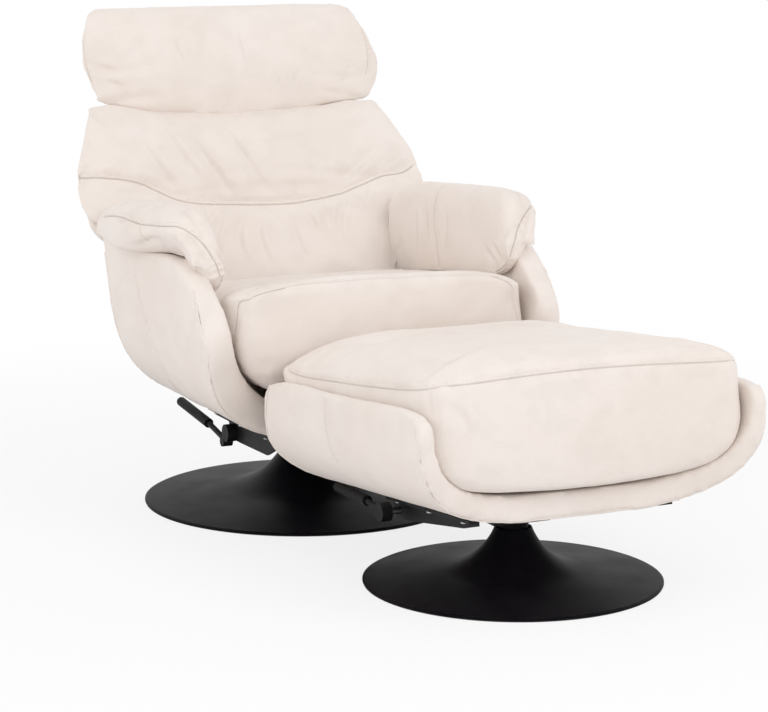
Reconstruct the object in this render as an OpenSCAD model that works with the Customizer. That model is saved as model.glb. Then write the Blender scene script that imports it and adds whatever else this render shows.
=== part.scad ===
// Swivel recliner with its own footstool: upholstered bucket shells on round trumpet bases.
// Millimetres. The origin is the centre of the chair's base on the floor; the seat faces -Y and +Z is up.

/* [Bases] */
// Diameter of the chair's round base
chair_base_d = 640; // [580:1:720]
// Diameter of the footstool's round base
stool_base_d = 534; // [480:1:600]
// Thickness of the felt pad under each base
felt_t = 2; // [1:0.5:4]
// Thickness of the steel weight plate in each base
plate_t = 8; // [5:0.5:10]
// Wall of the spun steel base cover
cover_wall = 2; // [1.5:0.1:3]
// Height of the rolled rim of the cover over the felt
rim_h = 4; // [3:0.5:6]
// Slope of the cover from the rim inwards, in degrees
cone_angle = 7; // [5:0.5:9]
// Radius of the hollow flare of the chair's cover
chair_flare_r = 160; // [140:1:180]
// Radius of the hollow flare of the footstool's cover
stool_flare_r = 120; // [105:1:135]
// Height of the top of the chair's cover
chair_neck_h = 134; // [125:1:136]
// Height of the top of the footstool's cover
stool_neck_h = 98; // [90:1:102]
// Outer diameter of the steel columns
column_d = 54; // [50:1:56]
// Wall of the columns
column_wall = 4; // [3:0.5:6]
// Height of the top of the chair's column
chair_column_h = 140; // [139:1:144]
// Height of the top of the footstool's column
stool_column_h = 108; // [106:1:111]
// Diameter of the turning spindles
spindle_d = 30; // [24:1:34]

/* [Turning and tilting] */
// Radial running clearance of spindles and tilt axles
running_gap = 0.06; // [0.02:0.01:0.1]
// Thickness of the bearing washer on each column
washer_t = 3; // [2:0.5:3]
// Thickness of the swivel bracket's steel
bracket_t = 6; // [4:0.5:7]
// Width over the cheeks of the chair's swivel bracket
bracket_w = 212; // [180:1:230]
// Width over the cheeks of the footstool's swivel bracket
stool_bracket_w = 110; // [100:1:124]
// Place of the chair's tilt axle in front of the column
chair_axle_y = -95; // [-110:1:-80]
// Height of the chair's tilt axle
chair_axle_z = 168; // [167:1:170]
// Place of the footstool's tilt axle behind its column
stool_axle_y = 70; // [60:1:80]
// Height of the footstool's tilt axle
stool_axle_z = 131; // [130:0.5:132]
// Diameter of the tilt axles
axle_d = 12; // [10:0.5:13]
// Distance between the middles of the mounting rails
rail_gap = 370; // [360:1:380]
// Thickness of the rails
rail_t = 5; // [4:0.5:6]
// Forward tilt of the footstool's tray in degrees, the front up
tray_tilt = 5; // [4:0.5:5.5]

/* [Chair shell] */
// Half of the width over the side shells
shell_half_w = 365; // [355:1:380]
// Thickness of the padded side shells
shell_wall = 50; // [48:1:56]
// Thickness of the padded bottom
pan_wall = 45; // [40:1:50]
// Height of the underside of the shell
pan_z = 186; // [186:1:188]
// Height at which the shell's sides become upright
shell_bend_z = 500; // [490:1:510]
// Height of the top edge of the side shells
shell_top_z = 535; // [528:1:538]
// Reach of the shell in front of the column
shell_front = 408; // [395:1:415]
// Reach of the shell behind the column
shell_rear = 165; // [150:1:175]
// Rounding of the shell's edges
shell_edge_r = 20; // [12:1:22]

/* [Seat and arms] */
// Half of the width of the seat cushion
seat_half_w = 312; // [295:1:313]
// Reach of the seat cushion in front of the column
seat_front = 408; // [395:1:415]
// Reach of the seat cushion behind the column
seat_rear = 99; // [90:1:100]
// Height of the seat's front seam
seat_seam_z = 462; // [455:1:468]
// Fall of the seat towards the back, in degrees
seat_fall = 6.5; // [4:0.5:8]
// Rise of the seat's crown over its seam
seat_crown = 34; // [20:1:40]
// Height of the front end of the arm pads
arm_top_z = 619; // [605:1:635]
// Width of the arm pads
arm_w = 129; // [120:1:132]
// Reach of the arm pads in front of the column
arm_front = 318; // [305:1:330]
// Reach of the arm pads behind the column
arm_rear = 186; // [170:1:190]

/* [Back and head] */
// Lean of the backrest from upright, in degrees
back_lean = 31; // [28:0.5:33]
// Place of the back's hinge behind the column
back_hinge_y = 171; // [168:1:180]
// Height of the back's hinge
back_hinge_z = 369; // [366:1:376]
// Length of the backrest above its hinge
back_len = 424; // [410:1:426]
// Overhang of the backrest's widest part over the shell's side
back_overhang = 19; // [5:1:25]
// Thickness of the back cushion in front of the hinge line
back_pad_t = 60; // [50:1:62]
// Lean of the headrest from upright, in degrees
head_lean = 22; // [20:0.5:26]
// Length of the headrest above its hinge
head_len = 186; // [185:1:205]
// Half of the width of the headrest
head_half_w = 324; // [305:1:330]
// Radius of the roll at the headrest's lower edge
head_roll_r = 30; // [26:1:32]
// Droop of the headrest's lower edge in its middle
head_sag = 27; // [16:1:30]

/* [Footstool tray] */
// Place of the footstool's column to the side of the chair's
stool_x = 90; // [60:1:110]
// Distance of the footstool's column in front of the chair's
stool_y = 728; // [725:1:800]
// Half of the width of the footstool's shell
tray_half_w = 330; // [320:1:345]
// Height of the underside of the footstool's shell
tray_z = 144; // [144:0.5:146]
// Height of the top of the footstool's shell
tray_top_z = 350; // [345:1:360]
// Reach of the footstool's shell to the front
tray_front = 318; // [305:1:325]
// Reach of the footstool's shell to the rear
tray_rear = 328; // [310:1:330]
// Height of the seam of the footstool's cushion
stool_seam_z = 386; // [380:1:395]
// Rise of the crown of the footstool's cushion
stool_crown = 46; // [35:1:55]

/* [Lever] */
// Diameter of the lever hubs
hub_d = 34; // [30:1:36]
// Diameter of the lever rods
rod_d = 11; // [9:0.5:12]
// Diameter of the lever grips
grip_d = 19; // [17:0.5:22]
// Length of the chair lever's rod up to its bend
rod_len = 90; // [75:1:100]
// Length of the chair lever's grip
grip_len = 164; // [140:1:170]
// Length of the footstool lever's rod up to its bend
stool_rod_len = 44; // [35:1:50]
// Length of the footstool lever's grip
stool_grip_len = 137; // [120:1:140]

/* [Hidden] */
$fn = 64;

// Colours
leather_colour = [0.93, 0.90, 0.87];
metal_colour = [0.06, 0.06, 0.07];
steel_colour = [0.62, 0.63, 0.65];
felt_colour = [0.12, 0.12, 0.12];
wood_colour = [0.76, 0.62, 0.42];
plastic_colour = [0.08, 0.08, 0.09];

// Clearances
cut = 1;             // overrun of cuts past a face
soft_gap = 0.5;      // space round a soft piece
least_t = 1.5;       // least thickness of a pad at its ends
slip = 0.05;         // space between two faces that slide on each other

// Base
pad_inset = 1;       // inset of the felt from the rim
rim_inset = 4;       // inset of the top of the rim
neck_land = 25;      // radius that the flare runs up to
arc_steps = 20;      // straight pieces in the flare
flange_d = 120;      // flange at the foot of a column
flange_t = 5;
flange_screw_pcd = 92;
column_screw_d = 8;
column_screw_head_d = 13;
column_screw_head_h = 5;
column_screws = 4;
bush_l = 40;         // length of the plastic bush in a column
clip_t = 2;          // retaining clip under the bush
clip_rim = 5;        // reach of the clip past the spindle
spindle_foot = 8;    // length of spindle under the clip
groove_depth = 2;    // depth of the clip's groove

// Swivel bracket and rails
bracket_past_axle = 40;  // reach of the bracket past the axle
bracket_past_hub = 60;   // reach of the bracket past the column on the other side
stool_past_hub = 34;
boss_r = 15;         // round top of a cheek
stool_boss_r = 11;
hub_plate_d = 64;    // thick middle of the bracket over the bearing washer
spacer_d = 20;
clutch_disc_d = 32;
stool_disc_d = 23;
clutch_disc_t = 2;
clutch_pitch = 5;    // distance from one clutch disc to the next
clutch_discs = 5;
rail_foot = 14;      // width of the rail's flange
rail_drop_r = 15;    // round lower corner at the axle
rail_front = 215;    // reach of the rail in front of its axle on the chair
rail_rear = 105;     // reach of the rail behind its axle on the chair
stool_rail_front = 300;
stool_rail_rear = 28;
rail_web_h = 44;     // height of the chair's rails
stool_rail_web_h = 20;
rail_taper = 50;     // length of the sloped front end of a rail
rail_screw_d = 6;
rail_screw_head_d = 12;
rail_screw_head_h = 3;
rail_screw_l = 14;

// Ribs and counts of the faceted forms
ring_n = 32;
edge_n = 4;          // pieces in each rounded edge of a padded band

// Exponents of the rounded sections
outer_bend_share = 3;
inner_bend_share = 2.5;
tray_bend_share = 3.2;

// Share of the shell's front reach against share of its height
shell_front_shares = [[0, 0.78], [0.06, 0.80], [0.27, 0.89], [0.36, 0.93], [0.46, 0.975], [0.6, 1], [0.75, 0.94],
  [0.88, 0.83], [0.97, 0.69], [1, 0.63]];
// Share of the shell's rear reach against share of its height
shell_rear_shares = [[0, 0.78], [0.6, 0.78], [0.85, 0.9], [1, 1]];
// Angle at which the side shells meet the pan
shell_split = 32;
side_steps = 9;
pan_steps = 8;

// Share of the tray's front and rear reach against share of its height
tray_front_shares = [[0, 0.80], [0.22, 0.915], [0.54, 1], [0.85, 0.98], [1, 0.955]];
tray_rear_shares = [[0, 0.72], [0.06, 0.81], [0.12, 0.88], [0.33, 1], [0.5, 1], [0.85, 0.92], [1, 0.87]];
tray_wall = 29;      // thickness of the tray's sides
tray_floor = 46;     // thickness of the tray's bottom
tray_edge_r = 12;
tray_steps = 20;

// Derived sizes of the base
plate_r_inset = rim_inset + (plate_t - rim_h + cover_wall + cut) / tan(cone_angle);
bracket_z_chair = chair_column_h + washer_t;
bracket_z_stool = stool_column_h + washer_t;

function spow(v, p) = sign(v) * pow(abs(v), p);
function end_share(t, p) = pow(max(0, 1 - pow(abs(2 * t - 1), p)), 1 / p);
function sum_points(r, i = 0) = i == len(r) - 1 ? r[i] : r[i] + sum_points(r, i + 1);
function centre(r) = sum_points(r) / len(r);
function mix(a, b, t) = a + (b - a) * t;

// Closed body through rings of points, one after the other, with a fan over each end
module loft(rings) {
  n = len(rings[0]);
  m = len(rings);
  points = concat([for (r = rings) each r], [centre(rings[0]), centre(rings[m - 1])]);
  sides = [for (i = [0:m - 2], j = [0:n - 1]) let (a = i * n + j, b = i * n + (j + 1) % n)
    each [[a, a + n, b + n], [a, b + n, b]]];
  foot = [for (j = [0:n - 1]) [m * n, j, (j + 1) % n]];
  head = [for (j = [0:n - 1]) [m * n + 1, (m - 1) * n + (j + 1) % n, (m - 1) * n + j]];
  polyhedron(points, concat(sides, foot, head));
}

// Points of a rounded rectangle about its centre, hu by hv half sizes
function rounded_ring(hu, hv, r) = [for (q = [0:3], j = [0:edge_n]) let (
    a = 90 * q + 90 * j / edge_n, su = (q == 0 || q == 3) ? 1 : -1, sv = q < 2 ? 1 : -1)
  [su * (hu - r) + r * cos(a), sv * (hv - r) + r * sin(a)]];

// Bases

// Height of the centre of the flare's arc
function flare_z(base_r, arc_r) = felt_t + rim_h + (base_r - rim_inset - neck_land - arc_r) * tan(cone_angle)
  + arc_r / cos(cone_angle);

// Outline of the cover from the rim to the neck, moved in by the wall where inset is 1
function cover_line(base_r, arc_r, neck_h, inset) = let (
    zc = flare_z(base_r, arc_r), r = arc_r + inset * cover_wall,
    top = asin((zc - neck_h) / r), low = 90 - cone_angle)
  concat([[base_r - rim_inset, felt_t + rim_h - inset * cover_wall]],
    [for (i = [0:arc_steps]) let (b = mix(low, top, i / arc_steps))
      [neck_land + arc_r - r * cos(b), zc - r * sin(b)]]);

module floor_pad(base_d) {
  color(felt_colour) cylinder(h = felt_t, d = base_d - 2 * pad_inset);
}

module weight_plate(base_d) {
  color(steel_colour) translate([0, 0, felt_t]) cylinder(h = plate_t, r = base_d / 2 - plate_r_inset);
}

module base_cover(base_d, arc_r, neck_h) {
  r = base_d / 2;
  outer = cover_line(r, arc_r, neck_h, 0);
  inner = cover_line(r, arc_r, neck_h, 1);
  color(metal_colour) rotate_extrude($fn = 128) polygon(concat(
    [[r - cover_wall, felt_t], [r, felt_t], [r, felt_t + rim_h / 2]], outer,
    [for (i = [len(inner) - 1:-1:0]) inner[i]], [[r - rim_inset, felt_t + rim_h - cover_wall]]));
}

module column(top_z) {
  foot_z = felt_t + plate_t;
  r = column_d / 2;
  color(metal_colour) difference() {
    rotate_extrude($fn = 96) polygon([[r - column_wall, foot_z], [flange_d / 2, foot_z],
      [flange_d / 2, foot_z + flange_t], [r, foot_z + flange_t], [r, top_z], [r - column_wall, top_z]]);
    for (i = [1:column_screws]) rotate([0, 0, 360 / column_screws * i])
      translate([flange_screw_pcd / 2, 0, foot_z - cut]) cylinder(h = flange_t + 2 * cut, d = column_screw_d);
  }
}

module column_screws() {
  top = felt_t + plate_t + flange_t;
  color(steel_colour) for (i = [1:column_screws]) rotate([0, 0, 360 / column_screws * i])
    translate([flange_screw_pcd / 2, 0, top - flange_t]) {
      cylinder(h = flange_t, d = column_screw_d);
      translate([0, 0, flange_t]) cylinder(h = column_screw_head_h, d = column_screw_head_d, $fn = 6);
    }
}

module column_bush(top_z) {
  r = spindle_d / 2 + running_gap;
  color(plastic_colour) translate([0, 0, top_z - bush_l]) difference() {
    cylinder(h = bush_l, r = column_d / 2 - column_wall);
    translate([0, 0, -cut]) cylinder(h = bush_l + 2 * cut, r = r);
  }
}

module bearing_washer(top_z) {
  color(steel_colour) translate([0, 0, top_z]) difference() {
    cylinder(h = washer_t, d = column_d);
    translate([0, 0, -cut]) cylinder(h = washer_t + 2 * cut, d = spindle_d);
  }
}

module spindle(top_z) {
  low = top_z - bush_l - slip - clip_t;
  r = spindle_d / 2;
  color(steel_colour) rotate_extrude() polygon([[0, low - spindle_foot], [r, low - spindle_foot], [r, low],
    [r - groove_depth, low], [r - groove_depth, low + clip_t], [r, low + clip_t],
    [r, top_z + washer_t], [0, top_z + washer_t]]);
}

module spindle_clip(top_z) {
  low = top_z - bush_l - slip - clip_t;
  color(steel_colour) translate([0, 0, low]) difference() {
    cylinder(h = clip_t, r = spindle_d / 2 + clip_rim - groove_depth);
    translate([0, 0, -cut]) cylinder(h = clip_t + 2 * cut, r = spindle_d / 2 - groove_depth);
  }
}

// Swivel bracket: a plate on the bearing washer, with two cheeks that carry the tilt axle
module swivel_bracket(base_z, axle_y, axle_z, w, past_hub, boss_r) {
  half = w / 2;
  reach = axle_y < 0 ? [axle_y - bracket_past_axle, past_hub] : [-past_hub, axle_y + bracket_past_axle];
  color(metal_colour) difference() {
    union() {
      translate([-half, reach[0], base_z]) cube([w, reach[1] - reach[0], bracket_t]);
      translate([0, 0, base_z]) cylinder(h = bracket_t + washer_t, d = hub_plate_d);
      for (side = [-1, 1]) translate([side * (half - bracket_t / 2), 0, 0]) rotate([90, 0, 90])
        translate([0, 0, -bracket_t / 2]) {
          linear_extrude(bracket_t) polygon([[reach[0], base_z], [reach[1], base_z],
            [reach[1], base_z + bracket_t], [axle_y + boss_r, axle_z], [axle_y - boss_r, axle_z],
            [reach[0], base_z + bracket_t]]);
          translate([axle_y, axle_z, 0]) cylinder(h = bracket_t, r = boss_r);
        }
    }
    translate([-half - cut, axle_y, axle_z]) rotate([0, 90, 0])
      cylinder(h = w + 2 * cut, r = axle_d / 2 + running_gap);
  }
}

// Pieces on the tilt axle, placed along X about the axle
module tilt_axle(reach) {
  l = rail_gap + rail_t;
  color(steel_colour) translate([-l / 2 - reach, 0, 0]) rotate([0, 90, 0]) cylinder(h = l + reach, d = axle_d);
}

// Length between a cheek of the bracket and the rail beside it
function side_room(w) = (rail_gap - rail_t - w) / 2;
function clutch_len() = clutch_pitch * (clutch_discs - 1) + clutch_disc_t;

module axle_ring(x, l, d) {
  translate([x, 0, 0]) rotate([0, 90, 0]) difference() {
    cylinder(h = l, d = d);
    translate([0, 0, -cut]) cylinder(h = l + 2 * cut, d = axle_d);
  }
}

module axle_spacers(w) {
  color(steel_colour) {
    axle_ring(w / 2 + slip, side_room(w) - slip, spacer_d);
    axle_ring(-rail_gap / 2 + rail_t / 2, side_room(w) - clutch_len() - slip, spacer_d);
    for (i = [0:clutch_discs - 2])
      axle_ring(-w / 2 - slip - clutch_len() + clutch_pitch * i + clutch_disc_t,
        clutch_pitch - clutch_disc_t, spacer_d);
  }
}

module clutch_discs(w, d) {
  color(steel_colour) for (i = [0:clutch_discs - 1])
    axle_ring(-w / 2 - slip - clutch_len() + clutch_pitch * i, clutch_disc_t, d);
}

// Mounting rails under a shell, in the shell's own level frame about the axle
module mounting_rails(front, rear, top, web_h) {
  color(metal_colour) for (side = [-1, 1]) difference() {
    union() {
      translate([side * rail_gap / 2 - rail_t / 2, 0, 0]) rotate([90, 0, 90]) linear_extrude(rail_t) polygon([
        [-front, top], [-front, top - web_h / 2], [-front + rail_taper, top - web_h],
        [-2 * rail_drop_r, min(-rail_drop_r, top - web_h)], [rail_drop_r, min(-rail_drop_r, top - web_h)],
        [2 * rail_drop_r, top - rail_tail_h], [rear, top - rail_tail_h], [rear, top]]);
      translate([side * (rail_gap / 2 + rail_t / 2) - (side > 0 ? 0 : rail_foot), -front, top - rail_t])
        cube([rail_foot, front + rear, rail_t]);
    }
    translate([-rail_gap, 0, 0]) rotate([0, 90, 0]) cylinder(h = 2 * rail_gap, d = axle_d);
    for (share = rail_screw_shares) translate([side * rail_screw_x, mix(-front, rear, share), top - rail_t - cut])
      cylinder(h = rail_t + 2 * cut, d = rail_screw_d);
  }
}
rail_tail_h = 16;    // height of a rail behind its axle
rail_screw_shares = [0.1, 0.5, 0.9];
rail_screw_x = rail_gap / 2 + rail_t / 2 + rail_foot / 2;

module rail_screws(front, rear, top) {
  color(steel_colour) for (side = [-1, 1], share = rail_screw_shares)
    translate([side * rail_screw_x, mix(-front, rear, share), top - rail_t]) {
      translate([0, 0, -rail_screw_head_h]) cylinder(h = rail_screw_head_h, d = rail_screw_head_d);
      cylinder(h = rail_t, d = rail_screw_d);
    }
}

// Chair shell: a padded band that bends under the seat, cut into two sides and a pan
shell_height = shell_top_z - pan_z;
function bend(half_w, depth, e, a) = [half_w * spow(sin(a), 2 / e), -depth * spow(cos(a), 2 / e)];
function shell_outer(a) = bend(shell_half_w, shell_bend_z - pan_z, outer_bend_share, a);
function shell_inner(a) = bend(shell_half_w - shell_wall, shell_bend_z - pan_z - pan_wall, inner_bend_share, a);

// Ring of a band between an outer and an inner point, from y0 to y1
function band_ring(out, in, y0, y1, r) = let (
    mid = (out + in) / 2, half = norm(out - in) / 2, u = (out - in) / norm(out - in))
  [for (p = rounded_ring(half, (y1 - y0) / 2, r)) [mid[0] + u[0] * p[0], (y0 + y1) / 2 + p[1], mid[1] + u[1] * p[0]]];

function shell_ring(a, lift) = let (
    o = shell_outer(a), i = shell_inner(a), out = [o[0], o[1] + shell_bend_z + lift],
    in = [i[0], i[1] + shell_bend_z + lift], h = (out[1] - pan_z) / shell_height)
  band_ring(out, in, -shell_front * lookup(h, shell_front_shares), shell_rear * lookup(h, shell_rear_shares),
    shell_edge_r);

module side_shell() {
  upright = shell_top_z - shell_bend_z;
  color(leather_colour) loft(concat([for (lift = [upright, upright / 2]) shell_ring(-90, lift)],
    [for (i = [0:side_steps]) shell_ring(mix(-90, -shell_split, i / side_steps), 0)]));
}

module pan_body() {
  loft([for (i = [0:pan_steps]) shell_ring(mix(-shell_split, shell_split, i / pan_steps), 0)]);
}
module seat_pan() {
  color(leather_colour) pan_body();
}

// Seat: battens, platform and cushion
batten_w = 30;
batten_x = 88;
batten_sink = 16;    // depth from which the battens are shaped to the pan
platform_half_w = 118;
platform_z = 248;
platform_t = 10;
platform_front = 290;
platform_rear = 112;

module seat_battens() {
  low = pan_z + pan_wall - batten_sink;
  color(wood_colour) difference() {
    for (side = [-1, 1]) translate([side * batten_x - batten_w / 2, -platform_front, low])
      cube([batten_w, platform_front + platform_rear, platform_z - low]);
    pan_body();
  }
}

module seat_platform() {
  color(wood_colour) translate([-platform_half_w, -platform_front, platform_z])
    cube([2 * platform_half_w, platform_front + platform_rear, platform_t]);
}

// Height of the inside of a bent band at half width x
function nest_z(x, half_w, top_z, depth, e) = top_z - depth * pow(max(0, 1 - pow(abs(x) / half_w, e)), 1 / e);

// Half width of the inside of a bent band at height z
function nest_x(z, half_w, top_z, depth, e) = z > top_z ? half_w
  : half_w * pow(max(0, 1 - pow((top_z - z) / depth, e)), 1 / e);

// Section of a nested cushion across X and Z: crowned over its seam, round under it and clear of the band's inside
function nest_ring(y, z, half_w, up, down, top_e, low_e, nest, shear = 0) = [for (i = [0:ring_n - 1]) let (
    a = 360 * i / ring_n, c = cos(a), s = sin(a), e = s > 0 ? top_e : low_e, free_x = half_w * spow(c, 2 / e),
    dz = s > 0 ? up * spow(s, 2 / e) : down * spow(s, 2 / e),
    low = nest_z(free_x, nest[0], nest[1], nest[2], nest[3]) + nest_gap,
    at_z = s > 0 ? z + dz : min(z, max(z + dz, low)),
    x = sign(free_x) * min(abs(free_x), nest_x(at_z, nest[0], nest[1], nest[2], nest[3]) - nest_gap))
  [x, y + shear * dz, at_z]];
nest_gap = 3;        // space between a nested cushion and its band

seat_steps = 17;
seat_end = 7;        // squareness of a cushion's ends seen from the side
seat_plan = 14;      // squareness of a cushion's corners seen from above
plan_min_share = 0.86;
seat_top_e = 3.2;
seat_low_e = 2.6;
seat_min_share = 0.25;
seat_lean_share = 0.6;   // share of the back's lean that the seat's rear end follows
seat_cushion_z = platform_z + platform_t + soft_gap;

module seat_cushion() {
  nest = [shell_half_w - shell_wall, shell_bend_z, shell_bend_z - pan_z - pan_wall, inner_bend_share];
  color(leather_colour) loft([for (i = [0:seat_steps]) let (
      t = 0.5 - 0.5 * cos(180 * i / seat_steps), k = max(seat_min_share, end_share(t, seat_end)),
      y = mix(seat_rear, -seat_front, t), z = seat_seam_z - (y + seat_front) * tan(seat_fall),
      w = seat_half_w * max(plan_min_share, end_share(t, seat_plan)))
    nest_ring(y, z, w, seat_crown * k, (z - seat_cushion_z) * k, seat_top_e, seat_low_e, nest,
      (1 - t) * (1 - t) * tan(back_lean) * seat_lean_share)]);
}

// Arm pad: folded over the top of a side shell, longer on the inside.
// Points of the folded section's outside: share of the pad's half width, share of its height over the shell
// where that is above 0, and of its drop below the shell's top where under 0
arm_outer_shares = [[-0.9, -1], [-1, -0.75], [-1, 0.2], [-0.88, 0.78], [-0.56, 1.14], [-0.05, 1.1], [0.45, 0.96],
  [0.84, 0.6], [1, 0.16], [0.84, -1]];
// Points of its underside: share of the shell's thickness, and the drop
arm_inner_shares = [[0, -1], [0, -0.6], [0, 0], [0.15, 0], [0.35, 0], [0.5, 0], [0.7, 0], [0.88, 0], [1, 0], [1, -1]];
// Height of the pad's top and reach of its outer side, as shares, against the share of its length from the rear
arm_top_shares = [[0, 0.5], [0.08, 0.62], [0.16, 0.79], [0.5, 0.94], [0.76, 1], [0.87, 0.99], [0.94, 0.86], [1, 0.6]];
arm_side_shares = [[0, 0.36], [0.18, 0.72], [0.4, 0.92], [0.66, 1], [0.84, 0.82], [0.92, 0.5], [1, 0.15]];
arm_steps = 15;
arm_nose = 56;       // length of the rounded front end
arm_min_share = 0.3;
arm_over = 50;       // reach of the pad past the outside of the shell
arm_x = shell_half_w + arm_over - arm_w / 2;
arm_outer_drop = 8;  // reach of the pad under the shell's top on the outside
arm_seat_gap = 22;   // height of the pad's inner edge over the seat's seam
arm_nose_z = 20;     // depth below the shell's top that the nose closes to

function arm_ring(t) = let (
    y = mix(arm_rear, -arm_front, t), up = (arm_top_z - shell_top_z) * lookup(t, arm_top_shares),
    over = arm_over * lookup(t, arm_side_shares), nose = max(0, (arm_nose - arm_front - y) / arm_nose),
    k = max(arm_min_share, sqrt(max(0, 1 - nose * nose))), half = arm_w / 2,
    drop = shell_top_z - arm_seat_gap - seat_seam_z + (y + seat_front) * tan(seat_fall),
    out = [for (p = arm_outer_shares) [p[0] < 0 ? arm_x + p[0] * half : arm_x + p[0] * (shell_half_w + over - arm_x),
      p[1] > 0 ? p[1] * up : p[1] * (p[0] < 0 ? drop : arm_outer_drop)]],
    in = [for (p = arm_inner_shares) [mix(shell_half_w - shell_wall - soft_gap, shell_half_w + soft_gap, p[0]),
      p[1] < 0 ? p[1] * (p[0] < 1 ? drop : arm_outer_drop) : soft_gap]],
    all = [for (q = concat(out, [for (i = [len(in) - 1:-1:0]) in[i]])) [q[0], shell_top_z + mix(-arm_nose_z, q[1], k)]])
  [for (i = [0:len(all) - 1]) let (q = all[i], wall_x = nest_x(q[1], shell_half_w - shell_wall, shell_bend_z,
      shell_bend_z - pan_z - pan_wall, inner_bend_share) - nest_gap)
    [i >= len(out) && q[0] < shell_half_w - shell_wall ? min(q[0], wall_x) : q[0], y, q[1]]];

module arm_pad() {
  n = 2 * len(arm_outer_shares);
  half = len(arm_outer_shares);
  rings = [for (i = [0:arm_steps]) arm_ring(0.5 - 0.5 * cos(180 * i / arm_steps))];
  m = len(rings);
  sides = [for (i = [0:m - 2], j = [0:n - 1]) let (a = i * n + j, b = i * n + (j + 1) % n)
    each [[a, b, b + n], [a, b + n, a + n]]];
  foot = [for (j = [0:half - 2]) each [[j, n - 1 - j, n - 2 - j], [j, n - 2 - j, j + 1]]];
  base = (m - 1) * n;
  head = [for (j = [0:half - 2]) each [[base + j, base + n - 2 - j, base + n - 1 - j],
    [base + j, base + j + 1, base + n - 2 - j]]];
  color(leather_colour) polyhedron([for (r = rings) each r], concat(sides, foot, head));
}

// Back: everything in the frame of the hinge, the backrest running up Z and its front facing -Y
module at_back() {
  translate([0, back_hinge_y, back_hinge_z]) rotate([-back_lean, 0, 0]) children();
}

// Half width of the backrest as a share of the greatest, against share of its length
back_half_w = shell_half_w + back_overhang;
back_width_shares = [[-0.15, 0.58], [-0.08, 0.625], [0.095, 0.63], [0.15, 0.69], [0.21, 0.735], [0.3, 0.745],
  [0.36, 0.8], [0.41, 0.92], [0.46, 0.98], [0.52, 1], [0.6, 1], [0.7, 0.98], [0.79, 0.94], [0.93, 0.87], [0.975, 0.835],
  [1, 0.79]];
// Share of the pad's thickness at the front, against share of the backrest's length
back_front_shares = [[0, 1], [0.3, 1], [0.45, 1.04], [0.65, 1.2], [0.8, 1.17], [0.93, 1.04], [0.975, 0.92], [1, 0.7]];
back_rear_t = 10;    // thickness of the pad behind the hinge line
back_edge_share = 0.2;   // share of the pad's depth at which it is widest, from the front
back_steps = 27;
back_low_share = 0.98;    // reach of the back below its hinge, as a share of its thickness
back_e = 3;
back_rear_e = 2.2;
channel_share = 0.53;    // share of the length at which the sewn channel crosses the middle
channel_rise_share = 0.115;
channel_depth = 9;
channel_w = 15;
droop_share = 0.8;   // share of the length from which the top edge droops

// Points round a pad of front and rear reach about the hinge line, widest at a share of its depth from the front
function pad_section(w, front, rear, edge_share, front_e, rear_e) = let (
    mid = front - (front + rear) * edge_share)
  [for (i = [0:ring_n - 1]) let (a = 360 * i / ring_n, c = cos(a), sn = sin(a), e = sn < 0 ? front_e : rear_e)
    [w * spow(c, 2 / e), sn < 0 ? -mid - (front - mid) * spow(-sn, 2 / e) : -mid + (rear + mid) * spow(sn, 2 / e)]];
function droop(x, w, depth) = depth * max(0, 1 - pow(x / w, 2));

function back_ring(s) = let (
    t = s / back_len, w = back_half_w * lookup(t, back_width_shares),
    roll = s < 0 ? sqrt(max(0, 1 - pow(s / back_pad_t, 2))) : 1,
    front = max(back_rear_t / 2, back_pad_t * (s < 0 ? roll : lookup(t, back_front_shares))),
    rear = s < 0 ? back_rear_t * roll : back_rear_t, low = max(0, (t - droop_share) / (1 - droop_share)))
  [for (p = pad_section(w, front, rear, back_edge_share, back_e, back_rear_e)) let (
      line = back_len * (channel_share + channel_rise_share * pow(p[0] / back_half_w, 2)),
      dip = channel_depth * exp(-pow((s - line) / channel_w, 2)) * max(0, -p[1] / front))
    [p[0], p[1] + dip, s - low * droop(p[0], w, back_droop)]];
back_droop = 22;     // droop of the backrest's top edge in its middle

module back_cushion() {
  color(leather_colour) at_back() loft(
    [for (i = [0:back_steps]) back_ring(mix(-back_pad_t * back_low_share, back_len, i / back_steps))]);
}

// Frame of the back: two uprights and three cross tubes, with flat lugs at the hinge
tube_d = 20;
strap_t = 2;
strap_gap = 0.3;     // space before and behind the straps
back_tube_y = back_rear_t + tube_d / 2 + strap_t + 2 * strap_gap;
frame_short = 52;    // height of the back over its frame's top tube
frame_top = back_len - frame_short;
cross_shares = [0.24, 0.62, 1];
lug_room = 63;       // space between the shell's inner side and the middle of a lug
lug_x = shell_half_w - shell_wall - lug_room;
lug_inset = 47;      // distance from an upright to its lug
upright_x = lug_x - lug_inset;
lug_t = 6;
lug_r = 18;
pin_d = 12;
pin_head_d = 20;
pin_head_h = 5;
hinge_bracket_t = 6;
hinge_disc_t = 3;
hinge_disc_d = 40;
lug_len = 80;

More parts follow.
